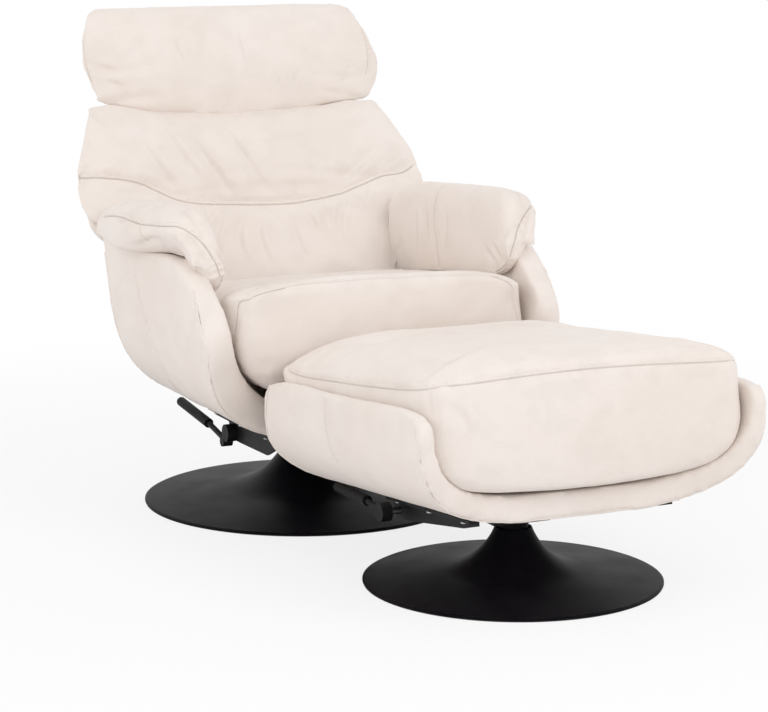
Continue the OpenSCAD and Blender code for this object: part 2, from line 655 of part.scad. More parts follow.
module back_frame() {
  color(metal_colour) at_back() difference() {
    union() {
      for (side = [-1, 1]) {
        translate([side * upright_x, back_tube_y, lug_len]) cylinder(h = frame_top - lug_len, d = tube_d);
        translate([side * lug_x - lug_t / 2, 0, 0]) rotate([90, 0, 90]) {
          cylinder(h = lug_t, r = lug_r);
          linear_extrude(lug_t) polygon([[-lug_r, 0], [lug_r, 0], [back_tube_y + tube_d / 2, lug_r + tube_d],
            [back_tube_y + tube_d / 2, lug_len], [back_tube_y - tube_d / 2, lug_len],
            [back_tube_y - tube_d / 2, lug_r + tube_d]]);
        }
        translate([min(side * upright_x, side * (lug_x + lug_t / 2)), back_tube_y, lug_len]) rotate([0, 90, 0])
          cylinder(h = lug_x + lug_t / 2 - upright_x, d = tube_d);
        translate([side * upright_x, back_tube_y, lug_len]) sphere(d = tube_d);
        translate([side * upright_x, back_tube_y, frame_top]) sphere(d = tube_d);
      }
      for (share = cross_shares) translate([-upright_x, back_tube_y, frame_top * share]) rotate([0, 90, 0])
        cylinder(h = 2 * upright_x, d = tube_d);
    }
    translate([-lug_x - lug_t, 0, 0]) rotate([0, 90, 0]) cylinder(h = 2 * (lug_x + lug_t), r = pin_d / 2 + running_gap);
  }
}

strap_w = 50;
strap_shares = [0.34, 0.47, 0.75, 0.88];

// Elastic straps behind the cushion, from upright to upright
module back_straps() {
  color(felt_colour) at_back() for (share = strap_shares)
    translate([-upright_x, back_rear_t + strap_gap, frame_top * share - strap_w / 2])
      cube([2 * upright_x, strap_t, strap_w]);
}

back_shell_t = 22;
back_shell_low = 50;
back_shell_top = 20;
back_shell_steps = 14;
back_shell_inset = 48;
head_rise = 18;      // height of the headrest's roll over the top of the back

// Padded rear cover of the back
module back_shell() {
  front = back_tube_y + tube_d / 2 + soft_gap;
  top = back_len - back_shell_top;
  color(leather_colour) at_back() loft([for (i = [0:back_shell_steps]) let (
      k = i / back_shell_steps, s = mix(back_shell_low, top, k),
      w = back_half_w * lookup(s / back_len, back_width_shares) - back_shell_inset,
      closed = max(0.3, end_share(k, 10)), t = back_shell_t * closed / 2)
    [for (p = rounded_ring(w, t, t * 0.9)) [p[0], front + back_shell_t / 2 + p[1], s]]]);
}

// Hinge of the back on the seat: a cross plate that stands on the platform, with a plate and boss at each end
hinge_boss_r = 22;
cross_t = 6;
cross_y = 102;       // front of the cross plate
cross_top = 342;
hinge_rise = 335;    // height of the cross plate's ends over the bend of the shell
module back_hinge_brackets() {
  x = lug_x + lug_t / 2 + hinge_disc_t + slip;
  outer = x + hinge_bracket_t;
  foot = platform_z + platform_t;
  color(metal_colour) {
    translate([0, cross_y + cross_t, 0]) rotate([90, 0, 0]) linear_extrude(cross_t) polygon([
      [-platform_half_w, foot], [platform_half_w, foot], [outer, hinge_rise], [outer, cross_top + cross_t],
      [x, cross_top + cross_t], [platform_half_w, cross_top - 2 * hinge_boss_r],
      [-platform_half_w, cross_top - 2 * hinge_boss_r], [-x, cross_top + cross_t], [-outer, cross_top + cross_t],
      [-outer, hinge_rise]]);
    for (side = [-1, 1]) translate([side > 0 ? x : -outer, 0, 0]) rotate([90, 0, 90]) difference() {
      union() {
        translate([back_hinge_y, back_hinge_z, 0]) cylinder(h = hinge_bracket_t, r = hinge_boss_r);
        linear_extrude(hinge_bracket_t) polygon([[cross_y, hinge_rise], [cross_y + cross_t, hinge_rise],
          [back_hinge_y, back_hinge_z - hinge_boss_r], [back_hinge_y, back_hinge_z + hinge_boss_r],
          [cross_y, cross_top + cross_t]]);
      }
      translate([back_hinge_y, back_hinge_z, -cut]) cylinder(h = hinge_bracket_t + 2 * cut, d = pin_d);
    }
  }
}

module back_hinge_pins() {
  x = lug_x - lug_t / 2 - slip;
  l = lug_t + hinge_disc_t + hinge_bracket_t + 2 * slip;
  color(steel_colour) for (side = [-1, 1]) translate([side * x, back_hinge_y, back_hinge_z])
    rotate([0, side * 90, 0]) {
      translate([0, 0, -pin_head_h]) cylinder(h = pin_head_h, d = pin_head_d);
      cylinder(h = l, d = pin_d);
    }
}

module back_hinge_discs() {
  x = lug_x + lug_t / 2 + slip;
  color(plastic_colour) for (side = [-1, 1]) translate([side * x, back_hinge_y, back_hinge_z])
    rotate([0, side * 90, 0]) difference() {
      cylinder(h = hinge_disc_t, d = hinge_disc_d);
      translate([0, 0, -cut]) cylinder(h = hinge_disc_t + 2 * cut, d = pin_d);
    }
}

// Headrest, in the frame of its own hinge
head_hinge_up = back_len + head_roll_r + head_rise;
head_hinge_in = 22;  // distance of the headrest's hinge in front of the back's hinge line
module at_head() {
  at_back() translate([0, -head_hinge_in, head_hinge_up]) rotate([back_lean - head_lean, 0, 0]) children();
}

head_width_shares = [[-0.16, 0.88], [-0.08, 0.925], [0, 0.95], [0.3, 1], [0.6, 0.985], [0.85, 0.93], [0.95, 0.89],
  [1, 0.84]];
head_front_shares = [[0, 1], [0.15, 1.4], [0.35, 1.7], [0.6, 1.7], [0.8, 1.5], [0.92, 1.25], [0.97, 0.95], [1, 0.5]];
head_rear_shares = [[0, 1], [0.3, 1.1], [0.7, 1], [0.9, 0.75], [0.97, 0.5], [1, 0.3]];
head_edge_share = 0.22;
head_steps = 15;
head_e = 3;
head_rear_e = 2.3;
pin_notch_half_w = 66;
pin_notch_r = 12;
head_pin_d = 10;
head_arm_t = 4;
head_arm_x = 50;
head_barrel_d = 18;

function head_ring(s) = let (
    t = s / head_len, w = head_half_w * lookup(t, head_width_shares),
    roll = s < 0 ? sqrt(max(0, 1 - pow(s / head_roll_r, 2))) : 1,
    front = max(least_t, head_roll_r * (s < 0 ? roll : lookup(t, head_front_shares))),
    rear = max(least_t, head_roll_r * (s < 0 ? roll : lookup(t, head_rear_shares))),
    low = min(1, max(0, 1 - t / head_droop_share)))
  [for (p = pad_section(w, front, rear, head_edge_share, head_e, head_rear_e))
    [p[0], p[1], s - low * droop(p[0], w, head_sag)]];
head_droop_share = 0.7;

module headrest_cushion() {
  color(leather_colour) at_head() difference() {
    loft([for (i = [0:head_steps]) head_ring(mix(-head_roll_r * 0.98, head_len, i / head_steps))]);
    translate([-pin_notch_half_w, -pin_notch_r, -head_roll_r - head_sag - cut])
      cube([2 * pin_notch_half_w, head_roll_r * 3, head_roll_r + head_sag + head_notch_h]);
  }
}
head_notch_h = 90;

// Steel loop of the headrest: two arms from the pin, joined by a plate behind the pad
module headrest_frame() {
  color(metal_colour) at_head() difference() {
    union() {
      for (side = [-1, 1]) translate([side * head_arm_x - head_arm_t / 2, 0, 0]) rotate([90, 0, 90]) {
        cylinder(h = head_arm_t, r = pin_notch_r - cut);
        linear_extrude(head_arm_t) polygon([[-pin_notch_r / 2, 0], [pin_notch_r / 2, 0],
          [pin_notch_r / 2, head_notch_h - cut], [-pin_notch_r / 2, head_notch_h - cut]]);
      }
      translate([-head_arm_x, -pin_notch_r / 2, head_notch_h - cut - pin_notch_r])
        cube([2 * head_arm_x, pin_notch_r, pin_notch_r]);
    }
    translate([-head_arm_x - head_arm_t, 0, 0]) rotate([0, 90, 0])
      cylinder(h = 2 * (head_arm_x + head_arm_t), r = head_pin_d / 2 + running_gap);
  }
}
module headrest_pin() {
  color(steel_colour) at_head() translate([-head_arm_x - head_arm_t, 0, 0]) rotate([0, 90, 0])
    cylinder(h = 2 * (head_arm_x + head_arm_t), d = head_pin_d);
}

// Bracket from the top cross tube of the back to the barrel on the headrest's pin
bracket_bar_t = 6;
bracket_bar_w = 60;
barrel_w = 80;
module headrest_bracket() {
  color(metal_colour) difference() {
    union() {
      at_head() translate([-barrel_w / 2, 0, 0]) rotate([0, 90, 0]) cylinder(h = barrel_w, d = head_barrel_d);
      at_back() translate([-bracket_bar_w / 2, 0, 0]) rotate([90, 0, 90]) linear_extrude(bracket_bar_w) polygon([
        [back_tube_y - bracket_bar_t, frame_top + tube_d / 2 - bracket_bar_t / 2],
        [back_tube_y + bracket_bar_t, frame_top + tube_d / 2 - bracket_bar_t / 2],
        [back_tube_y + bracket_bar_t, back_len], [-head_hinge_in + bracket_bar_t, head_hinge_up + bracket_bar_t / 2],
        [-head_hinge_in, head_hinge_up - bracket_bar_t], [back_tube_y - bracket_bar_t, back_len - bracket_bar_t]]);
    }
    at_head() translate([-barrel_w / 2 - cut, 0, 0]) rotate([0, 90, 0])
      cylinder(h = barrel_w + 2 * cut, d = head_pin_d);
    at_back() translate([-upright_x, back_tube_y, frame_top]) rotate([0, 90, 0]) cylinder(h = 2 * upright_x, d = tube_d);
  }
}

// Levers, in the frame of the axle: a hub with an ear at the axle's end, a rod out of the ear and a grip to the rear
hub_t = 20;
ear_d = 20;
ear_y = 18;          // place of the rod's foot behind the axle
chair_ear_z = -20;
stool_ear_z = 2;
chair_hub_reach = 0; // distance of the hub from the rail
stool_hub_reach = 22;
knee_r = 60;         // radius of the bend from the rod to the grip
chair_rod_angle = 10.5;
chair_grip_angle = 5.5;
stool_rod_angle = 10.5;
stool_grip_angle = 3.8;
function hub_in(reach) = -rail_gap / 2 - rail_t / 2 - reach - slip;

// Length of rod, placed from the ear along the rod and its bend, up to the grip
module rod_body(reach, ear_z, rod_l, rod_a, grip_a) {
  translate([hub_in(reach) - hub_t / 2, ear_y, ear_z]) rotate([rod_a - 90, 0, 0]) {
    cylinder(h = rod_l, d = rod_d);
    translate([0, knee_r, rod_l]) rotate([90, 0, -90]) rotate_extrude(angle = rod_a - grip_a)
      translate([knee_r, 0]) circle(d = rod_d);
  }
}

module lever_hub(reach, ear_z, rod_l, rod_a, grip_a) {
  color(plastic_colour) difference() {
    translate([hub_in(reach) - hub_t, 0, 0]) rotate([90, 0, 90]) {
      cylinder(h = hub_t, d = hub_d);
      translate([ear_y, ear_z, 0]) cylinder(h = hub_t, d = ear_d);
    }
    rod_body(reach, ear_z, rod_l, rod_a, grip_a);
  }
}

module lever_rod(reach, ear_z, rod_l, rod_a, grip_a) {
  color(metal_colour) rod_body(reach, ear_z, rod_l, rod_a, grip_a);
}

// Grip on the rod's end, closed at both ends
module lever_grip(reach, ear_z, rod_l, rod_a, grip_a, grip_l) {
  turn = rod_a - grip_a;
  color(plastic_colour) translate([hub_in(reach) - hub_t / 2, ear_y, ear_z]) rotate([rod_a - 90, 0, 0])
    translate([0, knee_r - knee_r * cos(turn), rod_l + knee_r * sin(turn)]) rotate([-turn, 0, 0]) {
      cylinder(h = grip_l - grip_d / 2, d = grip_d);
      translate([0, 0, grip_l - grip_d / 2]) sphere(d = grip_d);
    }
}

// Footstool: its column stands at stool_x, -stool_y; the tray leans about its axle
module at_stool() {
  translate([stool_x, -stool_y, 0]) children();
}
module at_tray() {
  translate([stool_x, stool_axle_y - stool_y, stool_axle_z]) rotate([-tray_tilt, 0, 0])
    translate([0, -stool_axle_y, -stool_axle_z]) children();
}
module at_stool_axle() {
  translate([stool_x, stool_axle_y - stool_y, stool_axle_z]) rotate([-tray_tilt, 0, 0]) children();
}
module at_chair_axle() {
  translate([0, chair_axle_y, chair_axle_z]) children();
}

tray_height = tray_top_z - tray_z;
tray_flare_share = 0.045;    // how much wider the tray is at its rear than at its front
// Points made wider towards the rear, as the tray is
function tray_flared(ring) = [for (p = ring)
  [p[0] * (1 + tray_flare_share * (p[1] + tray_front) / (tray_front + tray_rear)), p[1], p[2]]];
function tray_ring(a) = let (
    o = bend(tray_half_w, tray_height, tray_bend_share, a),
    i = bend(tray_half_w - tray_wall, tray_height - tray_floor, tray_bend_share, a), h = 1 + o[1] / tray_height)
  tray_flared(band_ring([o[0], o[1] + tray_top_z], [i[0], i[1] + tray_top_z],
    -tray_front * lookup(h, tray_front_shares), tray_rear * lookup(h, tray_rear_shares), tray_edge_r));

module stool_shell() {
  color(leather_colour) at_tray() loft([for (i = [0:tray_steps]) tray_ring(mix(-90, 90, i / tray_steps))]);
}

stool_platform_half_w = 110;
stool_platform_t = 8;
stool_platform_front = 150;
stool_platform_rear = 200;
facet_gap = 0.7;     // height of the tray's flat facets over its curve
stool_platform_z = nest_z(stool_platform_half_w, tray_half_w - tray_wall, tray_top_z, tray_height - tray_floor, tray_bend_share)
  + facet_gap;
module stool_platform() {
  color(wood_colour) at_tray() translate([-stool_platform_half_w, -stool_platform_front, stool_platform_z])
    cube([2 * stool_platform_half_w, stool_platform_front + stool_platform_rear, stool_platform_t]);
}

stool_cushion_half_w = 299;
stool_cushion_front = 303;
stool_cushion_rear = 290;
stool_low_z = stool_platform_z + stool_platform_t + soft_gap;
stool_low_e = 4;
stool_plan = 18;
stool_steps = 17;
module stool_cushion() {
  nest = [tray_half_w - tray_wall, tray_top_z, tray_height - tray_floor, tray_bend_share];
  color(leather_colour) at_tray() loft([for (i = [0:stool_steps]) let (
      t = 0.5 - 0.5 * cos(180 * i / stool_steps), k = max(seat_min_share, end_share(t, seat_end)),
      y = mix(stool_cushion_rear, -stool_cushion_front, t),
      w = stool_cushion_half_w * max(plan_min_share, end_share(t, stool_plan)))
    tray_flared(nest_ring(y, stool_seam_z, w, stool_crown * k, (stool_seam_z - stool_low_z) * k, seat_top_e,
      stool_low_e, nest))]);
}

// Angle of a bent section at which its surface stands at half width x
function bend_angle(x, half_w, e) = asin(pow(x / half_w, e / 2));
rail_angle_chair = bend_angle(rail_gap / 2 - rail_t, shell_half_w, outer_bend_share);
rail_lift = 1;       // height of the pan's flat facets over its curve at the rails
rail_top_chair = shell_bend_z + shell_outer(rail_angle_chair)[1] - chair_axle_z + rail_lift;
rail_angle_stool = bend_angle(rail_gap / 2 - rail_t, tray_half_w, tray_bend_share);
rail_top_stool = tray_top_z + bend(tray_half_w, tray_height, tray_bend_share, rail_angle_stool)[1] - stool_axle_z;

floor_pad(chair_base_d);  // chair_floor_pad
weight_plate(chair_base_d);  // chair_weight_plate
base_cover(chair_base_d, chair_flare_r, chair_neck_h);  // chair_base_cover
column(chair_column_h);  // chair_column
column_bush(chair_column_h);  // chair_column_bush
column_screws();  // chair_column_screws
spindle(chair_column_h);  // chair_spindle
bearing_washer(chair_column_h);  // chair_bearing_washer
spindle_clip(chair_column_h);  // chair_spindle_clip
swivel_bracket(bracket_z_chair, chair_axle_y,  // chair_swivel_bracket
  chair_axle_z, bracket_w, bracket_past_hub, boss_r);
at_chair_axle() tilt_axle(chair_hub_reach);  // chair_tilt_axle
at_chair_axle() axle_spacers(bracket_w);  // chair_axle_spacers
at_chair_axle() clutch_discs(bracket_w, clutch_disc_d);  // chair_clutch_discs
at_chair_axle()  // chair_mounting_rails
  mounting_rails(rail_front, rail_rear, rail_top_chair, rail_web_h);
at_chair_axle() rail_screws(rail_front, rail_rear, rail_top_chair);  // chair_rail_screws
seat_pan();
side_shell();  // side_shell_left
mirror([1, 0, 0]) side_shell();  // side_shell_right
seat_battens();
seat_platform();
seat_cushion();
mirror([1, 0, 0]) arm_pad();  // arm_pad_left
arm_pad();  // arm_pad_right
back_hinge_brackets();
back_hinge_pins();
back_hinge_discs();
at_chair_axle()  // chair_lever_hub
  lever_hub(chair_hub_reach, chair_ear_z, rod_len, chair_rod_angle, chair_grip_angle);
at_chair_axle()  // chair_lever_rod
  lever_rod(chair_hub_reach, chair_ear_z, rod_len, chair_rod_angle, chair_grip_angle);
at_chair_axle()  // chair_lever_grip
  lever_grip(chair_hub_reach, chair_ear_z, rod_len, chair_rod_angle, chair_grip_angle, grip_len);
back_frame();
back_straps();
back_shell();
back_cushion();
headrest_bracket();
headrest_pin();
headrest_frame();
headrest_cushion();
at_stool() floor_pad(stool_base_d);  // stool_floor_pad
at_stool() weight_plate(stool_base_d);  // stool_weight_plate
at_stool() base_cover(stool_base_d, stool_flare_r, stool_neck_h);  // stool_base_cover
at_stool() column(stool_column_h);  // stool_column
at_stool() column_bush(stool_column_h);  // stool_column_bush
at_stool() column_screws();  // stool_column_screws
at_stool() spindle(stool_column_h);  // stool_spindle
at_stool() bearing_washer(stool_column_h);  // stool_bearing_washer
at_stool() spindle_clip(stool_column_h);  // stool_spindle_clip
at_stool()  // stool_swivel_bracket
  swivel_bracket(bracket_z_stool, stool_axle_y, stool_axle_z, stool_bracket_w, stool_past_hub, stool_boss_r);
at_stool_axle() tilt_axle(stool_hub_reach);  // stool_tilt_axle
at_stool_axle() axle_spacers(stool_bracket_w);  // stool_axle_spacers
at_stool_axle() clutch_discs(stool_bracket_w, stool_disc_d);  // stool_clutch_discs
at_stool_axle() mounting_rails(stool_rail_front, stool_rail_rear, rail_top_stool, stool_rail_web_h);  // stool_mounting_rails
at_stool_axle() rail_screws(stool_rail_front, stool_rail_rear, rail_top_stool);  // stool_rail_screws
stool_shell();
stool_platform();
stool_cushion();
at_stool_axle()  // stool_lever_hub
  lever_hub(stool_hub_reach, stool_ear_z, stool_rod_len, stool_rod_angle, stool_grip_angle);
at_stool_axle()  // stool_lever_rod
  lever_rod(stool_hub_reach, stool_ear_z, stool_rod_len, stool_rod_angle, stool_grip_angle);
at_stool_axle()  // stool_lever_grip
  lever_grip(stool_hub_reach, stool_ear_z, stool_rod_len, stool_rod_angle, stool_grip_angle, stool_grip_len);
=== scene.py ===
"""Leather swivel recliner with its footstool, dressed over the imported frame.

The soft pieces are made again from the frame's shapes: evened out, filled as cloth under pressure,
then creased, sewn and given a pebbled hide. Metal, wood and plastic keep their shape and get a finish.
"""

import logging
import math
from dataclasses import dataclass, replace
from enum import Enum
from typing import Optional, Sequence

import bmesh
import bpy
import numpy as np
from mathutils import Matrix, Vector, noise
from mathutils.bvhtree import BVHTree


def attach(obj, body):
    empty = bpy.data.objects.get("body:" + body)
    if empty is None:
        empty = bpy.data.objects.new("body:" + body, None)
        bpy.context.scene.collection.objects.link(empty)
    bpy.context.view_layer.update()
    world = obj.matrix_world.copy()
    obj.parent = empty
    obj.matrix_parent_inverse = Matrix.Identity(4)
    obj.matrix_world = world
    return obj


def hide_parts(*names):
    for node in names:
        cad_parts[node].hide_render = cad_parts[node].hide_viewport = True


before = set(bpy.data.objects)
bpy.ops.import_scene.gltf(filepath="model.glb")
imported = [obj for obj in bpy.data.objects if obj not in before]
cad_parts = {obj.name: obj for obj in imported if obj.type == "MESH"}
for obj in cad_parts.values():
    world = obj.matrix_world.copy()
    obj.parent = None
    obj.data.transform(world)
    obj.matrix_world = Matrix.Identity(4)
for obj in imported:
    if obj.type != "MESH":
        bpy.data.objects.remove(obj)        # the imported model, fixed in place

Point = tuple[float, float, float]
Colour = tuple[float, float, float, float]

LOG = logging.getLogger("recliner")
FILL_FRAMES = 20                 # frames over which the pads are filled
LAY_PITCH = 0.004                # between the points of a line as it is pressed in
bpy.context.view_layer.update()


# ---------------------------------------------------------------- shader trees


def tone(red: float, green: float, blue: float) -> Colour:
    """A colour given as 0 to 255 on a screen, as the linear value that a shader takes.

    Args:
        red: red share, 0 to 255.
        green: green share, 0 to 255.
        blue: blue share, 0 to 255.

    Returns:
        The linear colour with full alpha.
    """
    def linear(c: float) -> float:
        """One channel of the colour."""
        s = c / 255
        return s / 12.92 if s <= 0.04045 else ((s + 0.055) / 1.055) ** 2.4

    return (linear(red), linear(green), linear(blue), 1.0)


class Tree:
    """Adds nodes to one shader tree and joins them."""

    def __init__(self, tree: bpy.types.NodeTree) -> None:
        """Keeps the tree that the nodes go in."""
        self.tree = tree

    def add(self, kind: str, **values: object) -> bpy.types.Node:
        """Adds a node.

        Args:
            kind: the node's type, without its ShaderNode prefix.
            **values: properties of the node, or with a leading "in_" the default or link of an input.

        Returns:
            The new node.
        """
        prefix = "" if kind.startswith("NodeGroup") else "ShaderNode"
        node = self.tree.nodes.new(prefix + kind)
        for name, value in values.items():
            if name.startswith("in_"):
                self.feed(node, name[3:].replace("_", " "), value)
            else:
                setattr(node, name, value)
        return node

    def feed(self, node: bpy.types.Node, name: str, value: object) -> None:
        """Sets an input by name or number, or links it where the value is an output socket."""
        socket = node.inputs[int(name)] if name.isdigit() else node.inputs[name]
        if isinstance(value, bpy.types.NodeSocket):
            self.tree.links.new(value, socket)
        else:
            socket.default_value = value

    def math(self, operation: str, first: object, second: object = 0.0, clamp: bool = False) -> bpy.types.NodeSocket:
        """Adds a Math node of two inputs and returns its value."""
        return self.add("Math", operation=operation, use_clamp=clamp, in_0=first, in_1=second).outputs[0]

    def scaled(self, value: object, factor: float, more: object) -> bpy.types.NodeSocket:
        """Adds a Math node that multiplies by a factor and adds something, and returns its value."""
        node = self.math("MULTIPLY_ADD", value, factor).node
        self.feed(node, "2", more)
        return node.outputs[0]

    def ramp(self, value: object, low: float, high: float, to_low: object = 0.0, to_high: object = 1.0
             ) -> bpy.types.NodeSocket:
        """Adds a smooth Map Range and returns its result."""
        node = self.add("MapRange", interpolation_type="SMOOTHSTEP", in_Value=value)
        self.feed(node, "From Min", low)
        self.feed(node, "From Max", high)
        self.feed(node, "To Min", to_low)
        self.feed(node, "To Max", to_high)
        return node.outputs["Result"]

    def blend(self, share: object, first: object, second: object, mode: str = "MIX") -> bpy.types.NodeSocket:
        """Adds a colour Mix and returns its result."""
        node = self.add("Mix", data_type="RGBA", blend_type=mode)
        self.feed(node, "0", share)
        self.feed(node, "6", first)
        self.feed(node, "7", second)
        return node.outputs[2]


def new_group(name: str, inputs: Sequence[tuple[str, str, object]], outputs: Sequence[tuple[str, str]]
              ) -> tuple[Tree, bpy.types.Node, bpy.types.Node]:
    """Starts a shader node group.

    Args:
        name: the group's name.
        inputs: name, socket type and default of each input.
        outputs: name and socket type of each output.

    Returns:
        The group's tree, its input node and its output node.
    """
    group = bpy.data.node_groups.new(name, "ShaderNodeTree")
    for label, kind, default in inputs:
        socket = group.interface.new_socket(label, in_out="INPUT", socket_type="NodeSocket" + kind)
        socket.default_value = default
    for label, kind in outputs:
        group.interface.new_socket(label, in_out="OUTPUT", socket_type="NodeSocket" + kind)
    tree = Tree(group)
    return tree, tree.add("NodeGroupInput"), tree.add("NodeGroupOutput")


class Effect(Enum):
    """The shader effects that several materials share."""

    PEBBLES = "pebbled_grain"
    HIDE_TONE = "hide_tone"
    FINE_GRIT = "fine_grit"
    BRUSHING = "brushing"
    SETTLED_DUST = "settled_dust"


class Effects:
    """Builds each shared effect once and places it in the materials that ask for it."""

    def __init__(self) -> None:
        """Builds every group."""
        self.groups = {
            Effect.PEBBLES: self.pebbles(),
            Effect.HIDE_TONE: self.hide_tone(),
            Effect.FINE_GRIT: self.fine_grit(),
            Effect.BRUSHING: self.brushing(),
            Effect.SETTLED_DUST: self.settled_dust(),
        }

    def place(self, tree: Tree, effect: Effect, **values: object) -> bpy.types.Node:
        """Adds an effect's group to a material's tree.

        Args:
            tree: the material's tree.
            effect: which effect.
            **values: its inputs, with underscores for spaces.

        Returns:
            The group node.
        """
        node = tree.add("Group", node_tree=self.groups[effect])
        for name, value in values.items():
            tree.feed(node, name.replace("_", " "), value)
        return node

    def pebbles(self) -> bpy.types.NodeTree:
        """Rounded pebbles of two sizes with pits between them, and fine creases over them."""
        t, given, made = new_group(
            Effect.PEBBLES.value,
            [("Pebble", "Float", 0.0026), ("Crease", "Float", 0.014), ("Crease Depth", "Float", 0.5)],
            [("Height", "Float"), ("Pits", "Float")],
        )
        place = t.add("TexCoord").outputs["Object"]
        waver = t.add("TexNoise", in_Vector=place, in_Scale=90.0, in_Detail=2.0)
        shift = t.add("VectorMath", operation="SCALE", in_0=waver.outputs["Color"])
        t.feed(shift, "Scale", 0.0022)
        at = t.add("VectorMath", operation="ADD", in_0=place, in_1=shift.outputs[0]).outputs[0]
        scale = t.math("DIVIDE", 1.0, given.outputs["Pebble"])
        coarse = t.add("TexVoronoi", feature="DISTANCE_TO_EDGE", in_Vector=at, in_Scale=scale)
        fine = t.add("TexVoronoi", feature="DISTANCE_TO_EDGE", in_Vector=at, in_Scale=t.math("MULTIPLY", scale, 1.9))
        big = t.ramp(coarse.outputs["Distance"], 0.0, 0.26)
        small = t.ramp(fine.outputs["Distance"], 0.0, 0.3)
        where = t.add("TexNoise", in_Vector=place, in_Scale=26.0, in_Detail=1.0).outputs[0]
        pebbles = t.add("Mix", data_type="FLOAT", in_0=t.ramp(where, 0.4, 0.62), in_2=big, in_3=small).outputs[0]
        crease_scale = t.math("DIVIDE", 1.0, given.outputs["Crease"])
        folds = t.add("TexNoise", noise_dimensions="3D", in_Vector=at, in_Scale=crease_scale, in_Detail=3.0)
        ridge = t.math("ABSOLUTE", t.math("SUBTRACT", folds.outputs[0], 0.5))
        lines = t.ramp(ridge, 0.0, 0.05)
        creased = t.math("MULTIPLY", t.math("SUBTRACT", lines, 1.0), given.outputs["Crease Depth"])
        t.feed(made, "Height", t.math("ADD", pebbles, creased))
        t.feed(made, "Pits", t.math("SUBTRACT", 1.0, pebbles, True))
        return t.tree

    def hide_tone(self) -> bpy.types.NodeTree:
        """Colour of a hide: cloudy and deeper in its pits, with painted shade along its seams and folds."""
        t, given, made = new_group(
            Effect.HIDE_TONE.value,
            [("Light", "Color", (0.8, 0.75, 0.68, 1)), ("Deep", "Color", (0.6, 0.5, 0.4, 1)),
             ("Seam", "Color", (0.4, 0.3, 0.2, 1)), ("Pits", "Float", 0.0), ("Cloud", "Float", 0.25)],
            [("Color", "Color"), ("Cloudiness", "Float")],
        )
        place = t.add("TexCoord").outputs["Object"]
        cloud = t.add("TexNoise", in_Vector=place, in_Scale=5.5, in_Detail=4.0, in_Roughness=0.55).outputs[0]
        cloudy = t.ramp(cloud, 0.35, 0.7)
        shade = t.add("Attribute", attribute_name="fold_shade").outputs["Fac"]
        share = t.math("MULTIPLY", cloudy, given.outputs["Cloud"])
        share = t.math("ADD", share, t.math("MULTIPLY", given.outputs["Pits"], 0.22), True)
        hide = t.blend(share, given.outputs["Light"], given.outputs["Deep"])
        # painted shade: the hide darkens along the slits of seams and in creases, by the fold_shade attribute
        t.feed(made, "Color", t.blend(shade, hide, given.outputs["Seam"]))
        t.feed(made, "Cloudiness", cloudy)
        return t.tree

    def fine_grit(self) -> bpy.types.NodeTree:
        """Fine grit of a sprayed or moulded surface: its height and a slow change of sheen."""
        t, given, made = new_group(
            Effect.FINE_GRIT.value, [("Grit", "Float", 0.0008), ("Unevenness", "Float", 0.2)],
            [("Height", "Float"), ("Sheen", "Float")],
        )
        place = t.add("TexCoord").outputs["Object"]
        grit = t.add("TexNoise", in_Vector=place, in_Scale=t.math("DIVIDE", 1.0, given.outputs["Grit"]), in_Detail=2.0)
        slow = t.add("TexNoise", in_Vector=place, in_Scale=14.0, in_Detail=3.0)
        swing = t.math("MULTIPLY", t.math("SUBTRACT", slow.outputs[0], 0.5), given.outputs["Unevenness"])
        t.feed(made, "Height", grit.outputs[0])
        t.feed(made, "Sheen", swing)
        return t.tree

    def brushing(self) -> bpy.types.NodeTree:
        """Fine lines of turned or drawn metal, along a chosen stretch."""
        t, given, made = new_group(
            Effect.BRUSHING.value, [("Stretch", "Vector", (4.0, 900.0, 900.0)), ("Wear", "Float", 0.3)],
            [("Height", "Float"), ("Worn", "Float")],
        )
        place = t.add("TexCoord").outputs["Object"]
        along = t.add("VectorMath", operation="MULTIPLY", in_0=place, in_1=given.outputs["Stretch"]).outputs[0]
        lines = t.add("TexNoise", in_Vector=along, in_Scale=1.0, in_Detail=3.0)
        patches = t.add("TexNoise", in_Vector=place, in_Scale=40.0, in_Detail=4.0)
        worn = t.math("MULTIPLY", t.ramp(patches.outputs[0], 0.48, 0.66), given.outputs["Wear"])
        t.feed(made, "Height", lines.outputs[0])
        t.feed(made, "Worn", worn)
        return t.tree

    def settled_dust(self) -> bpy.types.NodeTree:
        """A thin veil on what faces up: how much of it lies at each place."""
        t, given, made = new_group(
            Effect.SETTLED_DUST.value, [("Amount", "Float", 0.1)], [("Cover", "Float")],
        )
        facing = t.add("SeparateXYZ", in_0=t.add("NewGeometry").outputs["Normal"]).outputs["Z"]
        place = t.add("TexCoord").outputs["Object"]
        patches = t.add("TexNoise", in_Vector=place, in_Scale=22.0, in_Detail=5.0).outputs[0]
        cover = t.math("MULTIPLY", t.ramp(facing, 0.55, 1.0), t.ramp(patches, 0.35, 0.75))
        t.feed(made, "Cover", t.math("MULTIPLY", cover, given.outputs["Amount"]))
        return t.tree


def start_material(name: str, **settings: object) -> tuple[bpy.types.Material, Tree, bpy.types.Node]:
    """Makes a material with a Principled shader.

    Args:
        name: the material's name.
        **settings: inputs of the shader, with underscores for spaces.

    Returns:
        The material, its tree and the shader node.
    """
    material = bpy.data.materials.new(name)
    material.use_nodes = True
    tree = Tree(material.node_tree)
    shader = material.node_tree.nodes["Principled BSDF"]
    for label, value in settings.items():
        tree.feed(shader, label.replace("_", " "), value)
    return material, tree, shader


def darker(colour: Colour, share: float) -> Colour:
    """A colour with this share of its light."""
    return (*(c * share for c in colour[:3]), 1.0)


